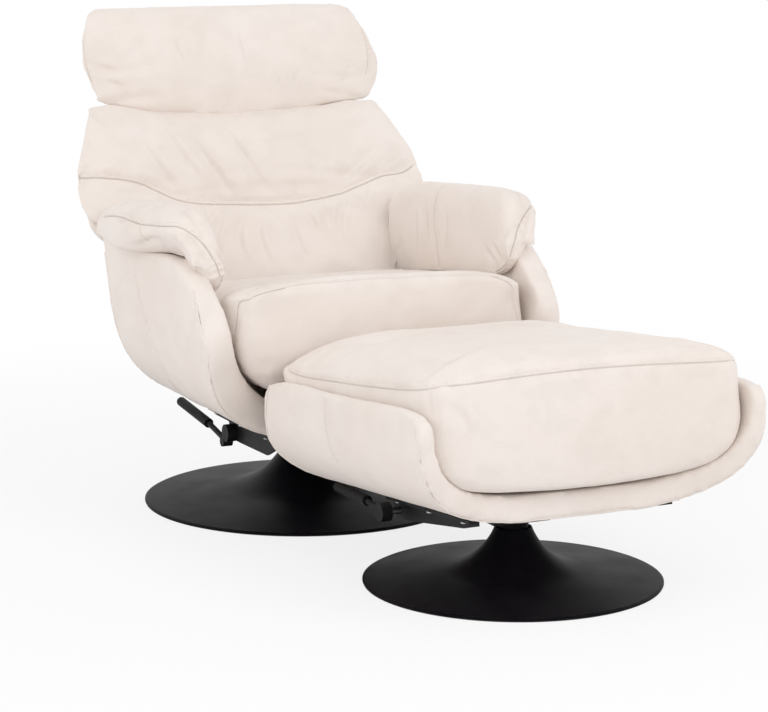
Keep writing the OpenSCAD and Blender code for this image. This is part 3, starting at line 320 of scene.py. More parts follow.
def bumped(tree: Tree, height: object, depth: float) -> bpy.types.NodeSocket:
    """Adds a Bump node and returns its normal.

    Args:
        tree: the material's tree.
        height: the height socket, 0 to 1.
        depth: the height in metres that 1 stands for.

    Returns:
        The normal socket.
    """
    return tree.add("Bump", in_Strength=1.0, in_Distance=depth, in_Height=height).outputs["Normal"]


@dataclass(frozen=True)
class Hide:
    """Soft pebbled leather."""

    name: str
    light: Colour = tone(243, 235, 229)
    deep: Colour = tone(228, 214, 202)
    # colour of the painted shade in the slits of seams and in creases
    seam: Colour = tone(150, 132, 116)
    pebble: float = 0.0026
    grain_depth: float = 0.00016
    crease_depth: float = 0.5
    roughness: float = 0.47

    def make(self, effects: Effects) -> bpy.types.Material:
        """Makes the material."""
        material, tree, shader = start_material(self.name, Specular_IOR_Level=0.38, Sheen_Weight=0.06,
                                                Sheen_Roughness=0.4)
        grain = effects.place(tree, Effect.PEBBLES, Pebble=self.pebble, Crease_Depth=self.crease_depth)
        colour = effects.place(tree, Effect.HIDE_TONE, Light=self.light, Deep=self.deep, Seam=self.seam,
                               Pits=grain.outputs["Pits"])
        tree.feed(shader, "Base Color", colour.outputs["Color"])
        tree.feed(shader, "Roughness", tree.scaled(grain.outputs["Pits"], 0.12, self.roughness))
        tree.feed(shader, "Normal", bumped(tree, grain.outputs["Height"], self.grain_depth))
        return material


@dataclass(frozen=True)
class Thread:
    """Twisted sewing thread."""

    name: str
    colour: Colour = tone(232, 222, 211)

    def make(self, effects: Effects) -> bpy.types.Material:
        """Makes the material."""
        material, tree, shader = start_material(self.name, Roughness=0.6)
        grit = effects.place(tree, Effect.FINE_GRIT, Grit=0.0005, Unevenness=0.2)
        tree.feed(shader, "Base Color", tree.blend(grit.outputs["Height"], darker(self.colour, 0.8), self.colour))
        tree.feed(shader, "Normal", bumped(tree, grit.outputs["Height"], 0.0002))
        return material


@dataclass(frozen=True)
class Coating:
    """Sprayed paint or moulded plastic, with a faint veil of dust."""

    name: str
    colour: Colour
    roughness: float
    grit: float = 0.0009
    grit_depth: float = 0.00004
    dust: float = 0.05
    gloss: float = 0.35

    def make(self, effects: Effects) -> bpy.types.Material:
        """Makes the material."""
        material, tree, shader = start_material(self.name, Specular_IOR_Level=self.gloss)
        grit = effects.place(tree, Effect.FINE_GRIT, Grit=self.grit, Unevenness=0.16)
        dust = effects.place(tree, Effect.SETTLED_DUST, Amount=self.dust)
        tree.feed(shader, "Base Color", tree.blend(dust.outputs["Cover"], self.colour, tone(150, 146, 142)))
        tree.feed(shader, "Roughness", tree.math("ADD", grit.outputs["Sheen"], self.roughness, True))
        tree.feed(shader, "Normal", bumped(tree, grit.outputs["Height"], self.grit_depth))
        return material


@dataclass(frozen=True)
class Steel:
    """Bright turned steel with dull worn patches."""

    name: str
    colour: Colour = tone(190, 190, 192)
    stretch: Point = (4.0, 900.0, 900.0)

    def make(self, effects: Effects) -> bpy.types.Material:
        """Makes the material."""
        material, tree, shader = start_material(self.name, Metallic=1.0)
        lines = effects.place(tree, Effect.BRUSHING, Stretch=self.stretch)
        tree.feed(shader, "Base Color", tree.blend(lines.outputs["Worn"], self.colour, darker(self.colour, 0.55)))
        tree.feed(shader, "Roughness", tree.scaled(lines.outputs["Worn"], 0.5, 0.28))
        tree.feed(shader, "Normal", bumped(tree, lines.outputs["Height"], 0.00003))
        return material


@dataclass(frozen=True)
class Wood:
    """Planed softwood or ply with long grain."""

    name: str
    light: Colour = tone(222, 190, 146)
    dark: Colour = tone(176, 130, 84)
    along: Point = (60.0, 3.0, 60.0)

    def make(self, effects: Effects) -> bpy.types.Material:
        """Makes the material."""
        material, tree, shader = start_material(self.name)
        place = tree.add("TexCoord").outputs["Object"]
        at = tree.add("VectorMath", operation="MULTIPLY", in_0=place, in_1=self.along).outputs[0]
        rings = tree.add("TexNoise", in_Vector=at, in_Scale=1.0, in_Detail=6.0, in_Distortion=0.8).outputs[0]
        bands = tree.ramp(rings, 0.36, 0.64)
        dust = effects.place(tree, Effect.SETTLED_DUST, Amount=0.1)
        wood = tree.blend(bands, self.dark, self.light)
        tree.feed(shader, "Base Color", tree.blend(dust.outputs["Cover"], wood, tone(200, 192, 180)))
        tree.feed(shader, "Normal", bumped(tree, rings, 0.0002))
        tree.feed(shader, "Roughness", tree.ramp(rings, 0.2, 0.8, 0.55, 0.75))
        return material


@dataclass(frozen=True)
class Weave:
    """Woven webbing or pressed felt: crossed threads at one pitch."""

    name: str
    colour: Colour
    pitch: float = 0.0014
    depth: float = 0.0003

    def make(self, effects: Effects) -> bpy.types.Material:
        """Makes the material."""
        material, tree, shader = start_material(self.name, Roughness=0.9)
        place = tree.add("TexCoord").outputs["Object"]
        scale = 1.0 / self.pitch / (2 * math.pi) * 0.5
        warp = tree.add("TexWave", bands_direction="X", in_Vector=place, in_Scale=scale, in_Distortion=0.4)
        weft = tree.add("TexWave", bands_direction="Z", in_Vector=place, in_Scale=scale, in_Distortion=0.4)
        cloth = tree.math("MAXIMUM", warp.outputs["Fac"], weft.outputs["Fac"])
        grit = effects.place(tree, Effect.FINE_GRIT, Grit=0.0012, Unevenness=0.2)
        height = tree.scaled(cloth, 0.6, grit.outputs["Height"])
        tree.feed(shader, "Base Color", tree.blend(cloth, darker(self.colour, 0.5), self.colour))
        tree.feed(shader, "Normal", bumped(tree, height, self.depth))
        return material


# ---------------------------------------------------------------- mesh helpers


def evaluated_mesh(obj: bpy.types.Object) -> bpy.types.Mesh:
    """The object's mesh with its modifiers applied, as a new mesh."""
    graph = bpy.context.evaluated_depsgraph_get()
    return bpy.data.meshes.new_from_object(obj.evaluated_get(graph), depsgraph=graph)


def apply_modifiers(obj: bpy.types.Object) -> None:
    """Replaces an object's mesh by what its modifiers make of it."""
    mesh = evaluated_mesh(obj)
    obj.modifiers.clear()
    old = obj.data
    obj.data = mesh
    bpy.data.meshes.remove(old)


def places(mesh: bpy.types.Mesh) -> np.ndarray:
    """The mesh's vertex places, one row each."""
    flat = np.empty(len(mesh.vertices) * 3, np.float64)
    mesh.vertices.foreach_get("co", flat)
    return flat.reshape(-1, 3)


def set_places(mesh: bpy.types.Mesh, at: np.ndarray) -> None:
    """Moves the mesh's vertices."""
    mesh.vertices.foreach_set("co", at.ravel())
    mesh.update()


def normals(mesh: bpy.types.Mesh) -> np.ndarray:
    """The mesh's vertex normals, one row each."""
    flat = np.empty(len(mesh.vertices) * 3, np.float32)
    mesh.vertex_normals.foreach_get("vector", flat)
    return flat.reshape(-1, 3).astype(np.float64)


def edge_pairs(mesh: bpy.types.Mesh) -> np.ndarray:
    """The mesh's edges as pairs of vertex numbers."""
    flat = np.empty(len(mesh.edges) * 2, np.int64)
    mesh.edges.foreach_get("vertices", flat)
    return flat.reshape(-1, 2)


def relaxed(values: np.ndarray, pairs: np.ndarray, rounds: int, keep_size: bool = True) -> np.ndarray:
    """Evens out values over a mesh.

    Args:
        values: one row for each vertex.
        pairs: the mesh's edges.
        rounds: how many times each vertex moves towards its neighbours.
        keep_size: whether every other round moves back, so that a shape doesn't shrink.

    Returns:
        The evened values.
    """
    count = np.bincount(pairs.ravel(), minlength=len(values))[:, None].clip(1)
    out = values.copy()
    for turn in range(rounds):
        total = np.zeros_like(out)
        for k in range(out.shape[1]):
            total[:, k] = np.bincount(pairs[:, 0], out[pairs[:, 1], k], len(out))
            total[:, k] += np.bincount(pairs[:, 1], out[pairs[:, 0], k], len(out))
        step = total / count - out
        out += (-0.53 if keep_size and turn % 2 else 0.5) * step
    return out


def new_piece(name: str, mesh: bpy.types.Mesh) -> bpy.types.Object:
    """Links a new object with this mesh to the scene."""
    obj = bpy.data.objects.new(name, mesh)
    bpy.context.scene.collection.objects.link(obj)
    return obj


def shade_smooth(mesh: bpy.types.Mesh) -> None:
    """Gives every face of a mesh smooth shading."""
    mesh.polygons.foreach_set("use_smooth", [True] * len(mesh.polygons))


@dataclass(frozen=True)
class Blob:
    """A rounded lump that fills a hollow of a pad: its middle and its reach each way."""

    middle: Point
    reach: Point


@dataclass(frozen=True)
class Nudge:
    """A soft shift of the skin round a place, which fades with distance."""

    middle: Point
    reach: Point
    shift: Point


def merged_shape(name: str, nodes: Sequence[str], blobs: Sequence[Blob]) -> bpy.types.Object:
    """A new object with the shapes of some frame nodes, rounded through the points of their cages.

    Args:
        name: the new object's name.
        nodes: the frame nodes to take, together.
        blobs: lumps to add to them.

    Returns:
        The new object, its faces paired into quads and rounded off.
    """
    same_place, flat, square = 0.00003, math.radians(30), math.radians(50)
    pull_share, pull_most = 0.8, 0.012
    shape = bmesh.new()
    for node in nodes:
        shape.from_mesh(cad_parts[node].data)
    bmesh.ops.remove_doubles(shape, verts=shape.verts, dist=same_place)
    bmesh.ops.join_triangles(shape, faces=shape.faces, angle_face_threshold=flat, angle_shape_threshold=square)
    for blob in blobs:
        place = Matrix.Translation(blob.middle) @ Matrix.Diagonal((*blob.reach, 1))
        bmesh.ops.create_uvsphere(shape, u_segments=12, v_segments=8, radius=1, matrix=place)
    mesh = bpy.data.meshes.new(name)
    shape.to_mesh(mesh)
    shape.free()
    mesh.materials.clear()
    obj = new_piece(name, mesh)
    rounding = obj.modifiers.new("rounding", "SUBSURF")
    rounding.levels = rounding.render_levels = 2
    goal = places(mesh)
    for _ in range(3):
        smooth = evaluated_mesh(obj)
        missing = goal - places(smooth)[:len(goal)]
        bpy.data.meshes.remove(smooth)
        far = np.linalg.norm(missing, axis=1)[:, None].clip(1e-9)
        set_places(mesh, places(mesh) + missing * np.minimum(pull_share, pull_most / far))
    apply_modifiers(obj)
    return obj


def curve_through(points: Sequence[Point], pitch: float) -> np.ndarray:
    """Points at an even pitch on a smooth curve through some points.

    Args:
        points: the points that the curve passes through.
        pitch: the distance between the points that come back.

    Returns:
        One row for each point.
    """
    given = np.array(points, float)
    ends = np.vstack([2 * given[0] - given[1], given, 2 * given[-1] - given[-2]])
    per_span = 13
    steps = np.linspace(0, 1, per_span)[:, None]
    parts = []
    for a, b, c, d in zip(ends, ends[1:], ends[2:], ends[3:]):
        parts.append(0.5 * (2 * b + (c - a) * steps + (2 * a - 5 * b + 4 * c - d) * steps ** 2
                            + (3 * b - a - 3 * c + d) * steps ** 3)[:-1])
    line = np.vstack(parts + [given[-1:]])
    along = np.r_[0, np.cumsum(np.linalg.norm(np.diff(line, axis=0), axis=1))]
    at = np.linspace(0, along[-1], max(3, int(along[-1] / pitch) + 1))
    return np.column_stack([np.interp(at, along, line[:, k]) for k in range(3)])


class Skin:
    """The surface of a piece, on which lines are laid."""

    def __init__(self, obj: bpy.types.Object) -> None:
        """Makes the search tree of the object's mesh."""
        mesh = obj.data
        faces = [tuple(p.vertices) for p in mesh.polygons]
        self.tree = BVHTree.FromPolygons([tuple(v) for v in places(mesh)], faces)

    def lay(self, line: np.ndarray) -> tuple[np.ndarray, np.ndarray]:
        """Moves a line onto the surface.

        Args:
            line: the line's points.

        Returns:
            The points on the surface, evened along the line, and the surface's normals there.
        """
        found = [self.tree.find_nearest(Vector(p)) for p in line]
        at = np.array([f[0] for f in found])
        up = np.array([f[1] for f in found])
        for _ in range(3):
            at[1:-1] = (at[:-2] + 2 * at[1:-1] + at[2:]) / 4
            up[1:-1] = (up[:-2] + 2 * up[1:-1] + up[2:]) / 4
        return at, up / np.linalg.norm(up, axis=1)[:, None].clip(1e-9)


class Kind(Enum):
    """What a line on a soft piece is."""

    SEAM = "seam"            # two panels joined, with a row of stitches beside it
    FOLD = "fold"            # a crease of the hide
    WELT = "welt"            # a thin covered cord sewn in an edge


@dataclass(frozen=True)
class Line:
    """A line on a soft piece: what it is, where it runs, and how it shapes the hide."""

    kind: Kind
    points: Sequence[Point]
    width: float = 0.009             # of the soft valley or crease, to each side
    depth: float = 0.002
    pucker: float = 0.0006           # height of the small gathers beside it
    fade: float = 0.03               # share of its length over which it fades at each end
    lean: float = 0.0                # how far a crease is a step with one lit and one shaded side
    shade: float = 0.42              # how much painted shade darkens its slit


def near_path(at: np.ndarray, path: np.ndarray, reach: float) -> tuple[np.ndarray, np.ndarray]:
    """Which points lie near a path, and where along it.

    Args:
        at: the points.
        path: the path's points.
        reach: how near they have to lie.

    Returns:
        The numbers of the near points, and for each the number of its nearest point of the path.
    """
    some = np.flatnonzero(((at > path.min(0) - reach) & (at < path.max(0) + reach)).all(1))
    apart, nearest = np.full(len(some), np.inf), np.zeros(len(some), int)
    for i, p in enumerate(path):
        d = ((at[some] - p) ** 2).sum(1)
        closer = d < apart
        apart[closer], nearest[closer] = d[closer], i
    kept = apart < reach ** 2
    return some[kept], nearest[kept]


def directions(path: np.ndarray) -> np.ndarray:
    """The unit direction of a path at each of its points."""
    way = np.gradient(path, axis=0)
    return way / np.linalg.norm(way, axis=1)[:, None].clip(1e-9)


@dataclass(frozen=True)
class Filling:
    """How the pads are filled: as cloth under pressure, of which mostly the wrinkles are kept."""

    quality: int = 4
    mass: float = 0.3
    stretch: float = 12.0            # stiffness against stretching and squeezing
    shear: float = 6.0
    bend: float = 0.6
    pressure: float = 4.0
    seam_reach: float = 0.007        # from a seam, in which the skin is held
    held_facing: float = 0.8         # how nearly a held point faces the fixed side
    even_rounds: int = 4             # of evening the moved skin
    wide_rounds: int = 70            # of evening, that leave only the wide change of form
    form_undone: float = 0.8         # share of that wide change that is taken back


class Cushion:
    """A soft piece: its shape from the frame, filled as cloth, then creased, sewn and covered."""

    filling = Filling()
    pitch: float = 0.0022            # between the points of a sewn line
    refine_reach: tuple[float, float] = (0.0085, 0.0042)     # from a seam, in which the mesh is halved again
    press_reach: tuple[float, float] = (3.2, 0.03)           # in widths of the line, and at least
    crease_step: float = 1.9         # brings a leaning crease to its depth
    crease_shade: tuple[float, float] = (0.10, 0.4)          # depth of the painted shade in a crease, and its share of the width
    slit: tuple[float, float] = (0.0011, 0.0013)             # reach and depth of a seam's slit
    slit_shade: float = 0.0013                               # reach of the painted shade in its slit
    lips: tuple[float, float, float] = (0.0034, 0.0018, 0.0004)      # place, reach and height of its edges
    gathers: tuple[float, float, float] = (0.019, 0.017, 0.003)      # pitch, reach and start of its puckers
    sway: tuple[float, float] = (14.0, 8.0)                  # how fast the puckers' beat wanders, and how far
    beat: tuple[float, float] = (0.4, 0.9)                   # strength of a pucker, and how much it varies
    waves: tuple[tuple[float, float], ...] = ((11.0, 1.0), (27.0, 0.5))      # scale and share of the slow waves
    stitch_pitch: float = 0.0062
    welt: tuple[float, float, int] = (0.0004, 0.0021, 8)     # rise, radius and sides of a welt's cord

    def __init__(self, name: str, body: str, nodes: Sequence[str], lines: Sequence[Line], fill: float = 0.6,
                 voxel: float = 0.006, slack: float = 0.005, cap: float = 0.022, even: int = 6,
                 held: Optional[Vector] = None, wave: float = 0.0012, firm: bool = False,
                 blobs: Sequence[Blob] = (), nudges: Sequence[Nudge] = ()) -> None:
        """Copies the shape and evens it.

        Args:
            name: the piece's name.
            body: the body that it rides on.
            nodes: the frame nodes that it stands for.
            lines: its seams, folds and welts.
            fill: how tightly it is filled, 0 to 1; not used.
            voxel: the size of its even mesh.
            slack: how far its skin draws in before it is filled.
            cap: how far filling may move a point.
            even: rounds of smoothing after the mesh is evened.
            held: the direction of the side that is fixed to a board and doesn't fill.
            wave: the height of the slow waves of the hide.
            firm: whether it is a padded shell, which isn't filled.
            blobs: lumps that fill its hollows.
            nudges: shifts of its skin.
        """
        self.name, self.body, self.nodes, self.lines = name, body, list(nodes), list(lines)
        self.fill, self.cap, self.wave, self.held, self.firm = fill, cap, wave, held, firm
        self.slack = 0.0 if firm else slack
        self.obj = merged_shape(name, nodes, blobs)
        remesh = self.obj.modifiers.new("even", "REMESH")
        remesh.mode, remesh.voxel_size = "VOXEL", voxel
        apply_modifiers(self.obj)
        mesh = self.obj.data
        self.start = relaxed(places(mesh), edge_pairs(mesh), even)
        for nudge in nudges:
            near = ((self.start - nudge.middle) / nudge.reach) ** 2
            self.start += np.exp(-near.sum(1))[:, None] * np.array(nudge.shift)
        set_places(mesh, self.start)
        LOG.info("%s: evened, %d points", name, len(self.start))

    def near_seams(self, at: np.ndarray, reach: float) -> np.ndarray:
        """Which of some points lie within reach of the piece's seams, as a yes or no for each."""
        near = np.zeros(len(at), bool)
        for line in self.lines:
            if line.kind is not Kind.FOLD:
                near[near_path(at, curve_through(line.points, reach * 0.6), reach)[0]] = True
        return near

    def prepare_filling(self) -> None:
        """Draws the skin in and sets it up as cloth under pressure, held at its seams and its fixed side."""
        if self.firm:
            return
        mesh = self.obj.data
        up = normals(mesh)
        self.start = self.start - up * self.slack
        set_places(mesh, self.start)
        fixed = self.near_seams(self.start, self.filling.seam_reach)
        if self.held is not None:
            fixed |= up @ np.array(self.held) > self.filling.held_facing
        group = self.obj.vertex_groups.new(name="held")
        group.add([int(i) for i in np.flatnonzero(fixed)], 1.0, "REPLACE")
        cloth = self.obj.modifiers.new("filling", "CLOTH")
        setting = cloth.settings
        setting.quality, setting.mass = self.filling.quality, self.filling.mass
        setting.tension_stiffness = setting.compression_stiffness = self.filling.stretch
        setting.shear_stiffness, setting.bending_stiffness = self.filling.shear, self.filling.bend
        setting.use_pressure, setting.uniform_pressure_force = True, self.filling.pressure
        setting.vertex_group_mass = group.name
        setting.effector_weights.gravity = 0
        cloth.collision_settings.use_collision = False
        cloth.point_cache.frame_start, cloth.point_cache.frame_end = 1, FILL_FRAMES

    def take_filling(self) -> None:
        """Reads the filled skin, keeps its wrinkles but hardly its change of form, and takes the cloth off."""
        if self.firm or "filling" not in self.obj.modifiers:
            return
        graph = bpy.context.evaluated_depsgraph_get()
        filled = self.obj.evaluated_get(graph).to_mesh()
        moved = places(filled) - self.start
        self.obj.evaluated_get(graph).to_mesh_clear()
        self.obj.modifiers.clear()
        self.obj.vertex_groups.clear()
        far = np.linalg.norm(moved, axis=1)[:, None].clip(1e-9)
        moved *= np.minimum(1.0, self.cap * np.tanh(far / self.cap) / far)
        pairs = edge_pairs(self.obj.data)
        wide = self.filling.form_undone * relaxed(moved, pairs, self.filling.wide_rounds, False)
        moved = relaxed(moved, pairs, self.filling.even_rounds, False) - wide
        set_places(self.obj.data, self.start + moved)
        LOG.info("%s: filled, moved %.1f mm in the mean and %.1f mm at most", self.name,
                 1000 * far.mean(), 1000 * far.max())

    def refine(self) -> None:
        """Halves the mesh's spacing, and halves it twice more along the seams, so that they show."""
        finer = self.obj.modifiers.new("finer", "SUBSURF")
        finer.levels = finer.render_levels = 1
        apply_modifiers(self.obj)
        mesh = self.obj.data
        mesh.name = self.name
        skin = Skin(self.obj)
        paths = [skin.lay(curve_through(line.points, 0.003))[0] for line in self.lines if line.kind is not Kind.FOLD]
        for reach in self.refine_reach:
            at = places(mesh)
            near = np.zeros(len(at), bool)
            for path in paths:
                near[near_path(at, path, reach)[0]] = True
            ends = edge_pairs(mesh)
            wanted = near[ends[:, 0]] | near[ends[:, 1]]
            shape = bmesh.new()
            shape.from_mesh(mesh)
            shape.edges.ensure_lookup_table()
            edges = [shape.edges[int(i)] for i in np.flatnonzero(wanted)]
            bmesh.ops.subdivide_edges(shape, edges=edges, cuts=1, use_grid_fill=True)
            shape.to_mesh(mesh)
            shape.free()

    def press(self, line: Line, at: np.ndarray, skin: Skin, lift: np.ndarray, shade: np.ndarray) -> None:
        """Adds what one line does to the height of the hide and to its painted shade.

        Args:
            line: the line.
            at: the piece's points.
            skin: its surface.
            lift: the height at each point, changed here.
            shade: the depth of painted shade at each point, changed here.
        """
        path, above = skin.lay(curve_through(line.points, LAY_PITCH))
        way = directions(path)
        widths, least = self.press_reach
        some, nearest = near_path(at, path, max(widths * line.width, least))
        if not len(some):
            return
        off = at[some] - path[nearest]
        ahead = (off * way[nearest]).sum(1)
        across = off - ahead[:, None] * way[nearest]
        apart = np.linalg.norm(across, axis=1)
        side = (off * np.cross(above, way)[nearest]).sum(1)
        along = nearest * LAY_PITCH + ahead
        length = (len(path) - 1) * LAY_PITCH
        soft = np.clip(np.minimum(along, length - along) / (length * line.fade + 1e-6), 0, 1)
        soft = soft * soft * (3 - 2 * soft)
        valley = np.exp(-(apart / line.width) ** 2)
        if line.kind is Kind.FOLD:
            step = self.crease_step * side / line.width * valley
            lift[some] += soft * line.depth * (line.lean * step - (1 - line.lean) * valley)
            # painted shade along the middle of a crease
            shade_depth, share = self.crease_shade
            shade[some] = np.maximum(shade[some], shade_depth * soft * np.exp(-(apart / (share * line.width)) ** 2))
            return
        (slit_reach, slit_depth), (lip_place, lip_reach, lip_height) = self.slit, self.lips
        gather_pitch, gather_reach, gather_start = self.gathers
        slit = np.exp(-(apart / slit_reach) ** 2)
        lips = np.exp(-((apart - lip_place) / lip_reach) ** 2)
        sway = np.array([noise.noise(Vector(p) * self.sway[0]) for p in path])[nearest]
        wander = np.cos(2 * math.pi * along / gather_pitch + self.sway[1] * sway)
        beat = wander * (self.beat[0] + self.beat[1] * sway)
        gathers = line.pucker * beat * np.exp(-(apart / gather_reach) ** 2) * (1 - np.exp(-(apart / gather_start) ** 2))
        lift[some] += soft * (gathers - line.depth * valley - slit_depth * slit + lip_height * lips)
        # painted shade in the slit of a seam
        shade[some] = np.maximum(shade[some], soft * line.shade * np.exp(-(apart / self.slit_shade) ** 2))

    def shape_hide(self) -> None:
        """Presses the lines in, lays slow waves over the hide and stores the painted shade of its slits and creases."""
        mesh = self.obj.data
        at, up = places(mesh), normals(mesh)
        skin = Skin(self.obj)
        lift, shade = np.zeros(len(at)), np.zeros(len(at))
        for line in self.lines:
            self.press(line, at, skin, lift, shade)
        lift += self.wave * np.array([sum(share * noise.noise(Vector(p) * scale) for scale, share in self.waves)
                                      for p in at])
        set_places(mesh, at + up * lift[:, None])
        attribute = mesh.attributes.new("fold_shade", "FLOAT", "POINT")
        attribute.data.foreach_set("value", shade.astype(np.float32))
        shade_smooth(mesh)

    def sew(self, thread: bpy.types.Material, hide: bpy.types.Material) -> None:
        """Adds the row of stitches beside each seam, and the welts."""
        skin = Skin(self.obj)
        stitches, welts = MeshParts(), MeshParts()
        rise, radius, sides = self.welt
        for line in self.lines:
            if line.kind is Kind.FOLD:
                continue
            path, up = skin.lay(curve_through(line.points, self.pitch))
            if line.kind is Kind.WELT:
                welts.tube(path + up * rise, radius, sides)
                continue
            stitches.stitch_row(path, up, skin, self.stitch_pitch)
        for parts, ending, finish in ((stitches, "stitches", thread), (welts, "welt", hide)):
            if parts.points:
                piece = parts.piece(f"{self.name}_{ending}")
                piece.data.materials.append(finish)
                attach(piece, self.body)

    def finish(self, hide: bpy.types.Material, thread: bpy.types.Material) -> None:
        """Shapes the hide, covers the piece, sews it and fixes it to its body."""
        self.refine()
        self.shape_hide()
        self.obj.data.materials.append(hide)
        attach(self.obj, self.body)
        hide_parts(*self.nodes)
        self.sew(thread, hide)
        LOG.info("%s: done, %d points, %d lines", self.name, len(self.obj.data.vertices), len(self.lines))


class MeshParts:
    """Collects small solids in one mesh."""

    stitch_long: float = 0.0042
    stitch_thick: float = 0.0004
    stitch_arch: tuple[float, float, float] = (-0.0003, 0.0004, -0.0003)     # height of its ends and its middle
    row_ends: tuple[float, float] = (0.006, 0.01)    # left free at the start and at the end of a row
    tube_end: float = 0.4            # share of a tube's radius at its ends
    off_axis: Point = (0.13, 0.29, 0.95)             # no tube runs along this

    def __init__(self) -> None:
        """Starts with nothing."""
        self.points: list[np.ndarray] = []
        self.faces: list[tuple[int, ...]] = []
        self.count = 0

    def rings(self, rings: Sequence[np.ndarray]) -> None:
        """Adds a closed skin over rings of equal length."""
        n, start = len(rings[0]), self.count
        for ring in rings:
            self.points.append(ring)
            self.count += n
        for i in range(len(rings) - 1):
            for j in range(n):
                a, b = start + i * n + j, start + i * n + (j + 1) % n
                self.faces.append((a, b, b + n, a + n))
        self.faces.append(tuple(range(start + n - 1, start - 1, -1)))
        self.faces.append(tuple(range(self.count - n, self.count)))

    def tube(self, path: np.ndarray, radius: float, sides: int) -> None:
        """Adds a tube along a path, drawn in at its ends."""
        way = directions(path)
        side = np.cross(way, self.off_axis)
        side /= np.linalg.norm(side, axis=1)[:, None].clip(1e-9)
        over = np.cross(way, side)
        turn = np.linspace(0, 2 * math.pi, sides, endpoint=False)
        rings = []
        for i, p in enumerate(path):
            r = radius * (self.tube_end if i in (0, len(path) - 1) else 1.0)
            rings.append(p + r * (np.cos(turn)[:, None] * side[i] + np.sin(turn)[:, None] * over[i]))
        self.rings(rings)

    def stitch_row(self, path: np.ndarray, up: np.ndarray, skin: Skin, pitch: float, beside: float = 0.0055) -> None:
        """Adds stitches along one side of a seam.

        Args:
            path: the seam.
            up: the skin's normals along it.
            skin: the surface that the stitches lie on.
            pitch: from one stitch to the next.
            beside: how far from the seam they run.
        """
        row, above = skin.lay(path + np.cross(up, directions(path)) * beside)
        along = np.r_[0, np.cumsum(np.linalg.norm(np.diff(row, axis=0), axis=1))]
        for start in np.arange(self.row_ends[0], along[-1] - self.row_ends[1], pitch):
            i = int(np.searchsorted(along, start).clip(0, len(row) - 1))
            arch = []
            for share, height in zip((0.0, 0.5, 1.0), self.stitch_arch):
                place = [np.interp(start + share * self.stitch_long, along, row[:, k]) for k in range(3)]
                arch.append(np.array(place) + above[i] * height)
            self.tube(np.array(arch), self.stitch_thick, 5)

    def piece(self, name: str) -> bpy.types.Object:
        """Makes the object from what was added."""
        mesh = bpy.data.meshes.new(name)
        mesh.from_pydata(np.vstack(self.points).tolist(), [], self.faces)
        shade_smooth(mesh)
        return new_piece(name, mesh)


def fill_all(cushions: Sequence[Cushion]) -> None:
    """Fills every cushion at once, as cloth under pressure with no gravity."""
    for cushion in cushions:
        cushion.prepare_filling()
    scene = bpy.context.scene
    for step in range(1, FILL_FRAMES + 1):
        scene.frame_set(step)
    for cushion in cushions:
        cushion.take_filling()
    scene.frame_set(1)


def mirrored(lines: Sequence[Line]) -> list[Line]:
    """The same lines on the other side of the chair."""
    return [replace(line, points=[(-x, y, z) for x, y, z in line.points]) for line in lines]


def folds(curves: Sequence[Sequence[Point]], width: float, depth: float, lean: float) -> list[Line]:
    """Creases of one kind.

    Args:
        curves: the points of each.
        width: the reach of a crease to each side.
        depth: its depth.
        lean: how far it is a step with one lit and one shaded side.

    Returns:
        One line for each curve.
    """
    return [Line(Kind.FOLD, curve, width, depth, pucker=0, fade=0.5, lean=lean) for curve in curves]


# ---------------------------------------------------------------- sub-assemblies


@dataclass(frozen=True)
class Band:
    """A padded band that bends round under a cushion, in the frame of its own column."""

    half_w: float
    low_z: float
    bend_z: float                    # height at which its sides turn straight up
    top_z: float
    squareness: float
    front: float                     # greatest reach to the front and to the rear
    rear: float
    insets: tuple[float, float]      # of the welts from the front edge and from the rear edge
    front_shares: Sequence[tuple[float, float]]      # share of the height, share of the reach there
    rear_shares: Sequence[tuple[float, float]]

    def outline(self, angle: float) -> tuple[float, float]:
        """Place on the outside of the band at an angle from its lowest line, in degrees, as X and Z."""
        s, c = math.sin(math.radians(angle)), math.cos(math.radians(angle))
        power = 2 / self.squareness
        x = math.copysign(self.half_w * abs(s) ** power, s)
        return x, self.bend_z - (self.bend_z - self.low_z) * max(0.0, c) ** power

    def edges(self) -> tuple[list[Point], list[Point]]:
        """Points along the band's front edge and along its rear edge, where its welts are."""
        front, rear = [], []
        for angle in range(-90, 91, 6):
            x, z = self.outline(angle)
            h = (z - self.low_z) / (self.top_z - self.low_z)
            front.append((x, -self.front * float(np.interp(h, *zip(*self.front_shares))) + self.insets[0], z))
            rear.append((x, self.rear * float(np.interp(h, *zip(*self.rear_shares))) - self.insets[1], z))
        return front, rear


@dataclass
class Shell:
    """The padded band that bends under the seat: its outline and the seams on it."""

    band: Band = Band(
        half_w=0.365, low_z=0.186, bend_z=0.500, top_z=0.535, squareness=3.0, front=0.408, rear=0.165,
        insets=(0.012, 0.012),
        front_shares=((0, 0.78), (0.06, 0.80), (0.27, 0.89), (0.36, 0.93), (0.46, 0.975), (0.6, 1), (0.75, 0.94),
                      (1, 0.8)),
        rear_shares=((0, 0.78), (0.6, 0.78), (0.85, 0.9), (1, 1)))

    def lines(self) -> list[Line]:
        """The seams and welts of the band, both sides."""
        side = [(-0.365, -0.027, 0.493), (-0.364, -0.049, 0.458), (-0.361, -0.078, 0.408), (-0.354, -0.102, 0.361),
                (-0.334, -0.107, 0.309), (-0.297, -0.079, 0.258), (-0.24, -0.06, 0.212), (-0.16, -0.05, 0.19)]
        seam = Line(Kind.SEAM, side, depth=-0.0012, shade=0.12)
        return [*(Line(Kind.WELT, edge, 0.006, 0.0008) for edge in self.band.edges()), seam, *mirrored([seam])]

    def build(self) -> list[Cushion]:
        """Makes the band."""
        nodes = ("side_shell_left", "seat_pan", "side_shell_right")
        return [Cushion("bucket_shell", "seat", nodes, self.lines(), fill=0.9, firm=True, even=8, voxel=0.0072,
                        wave=0.0009)]


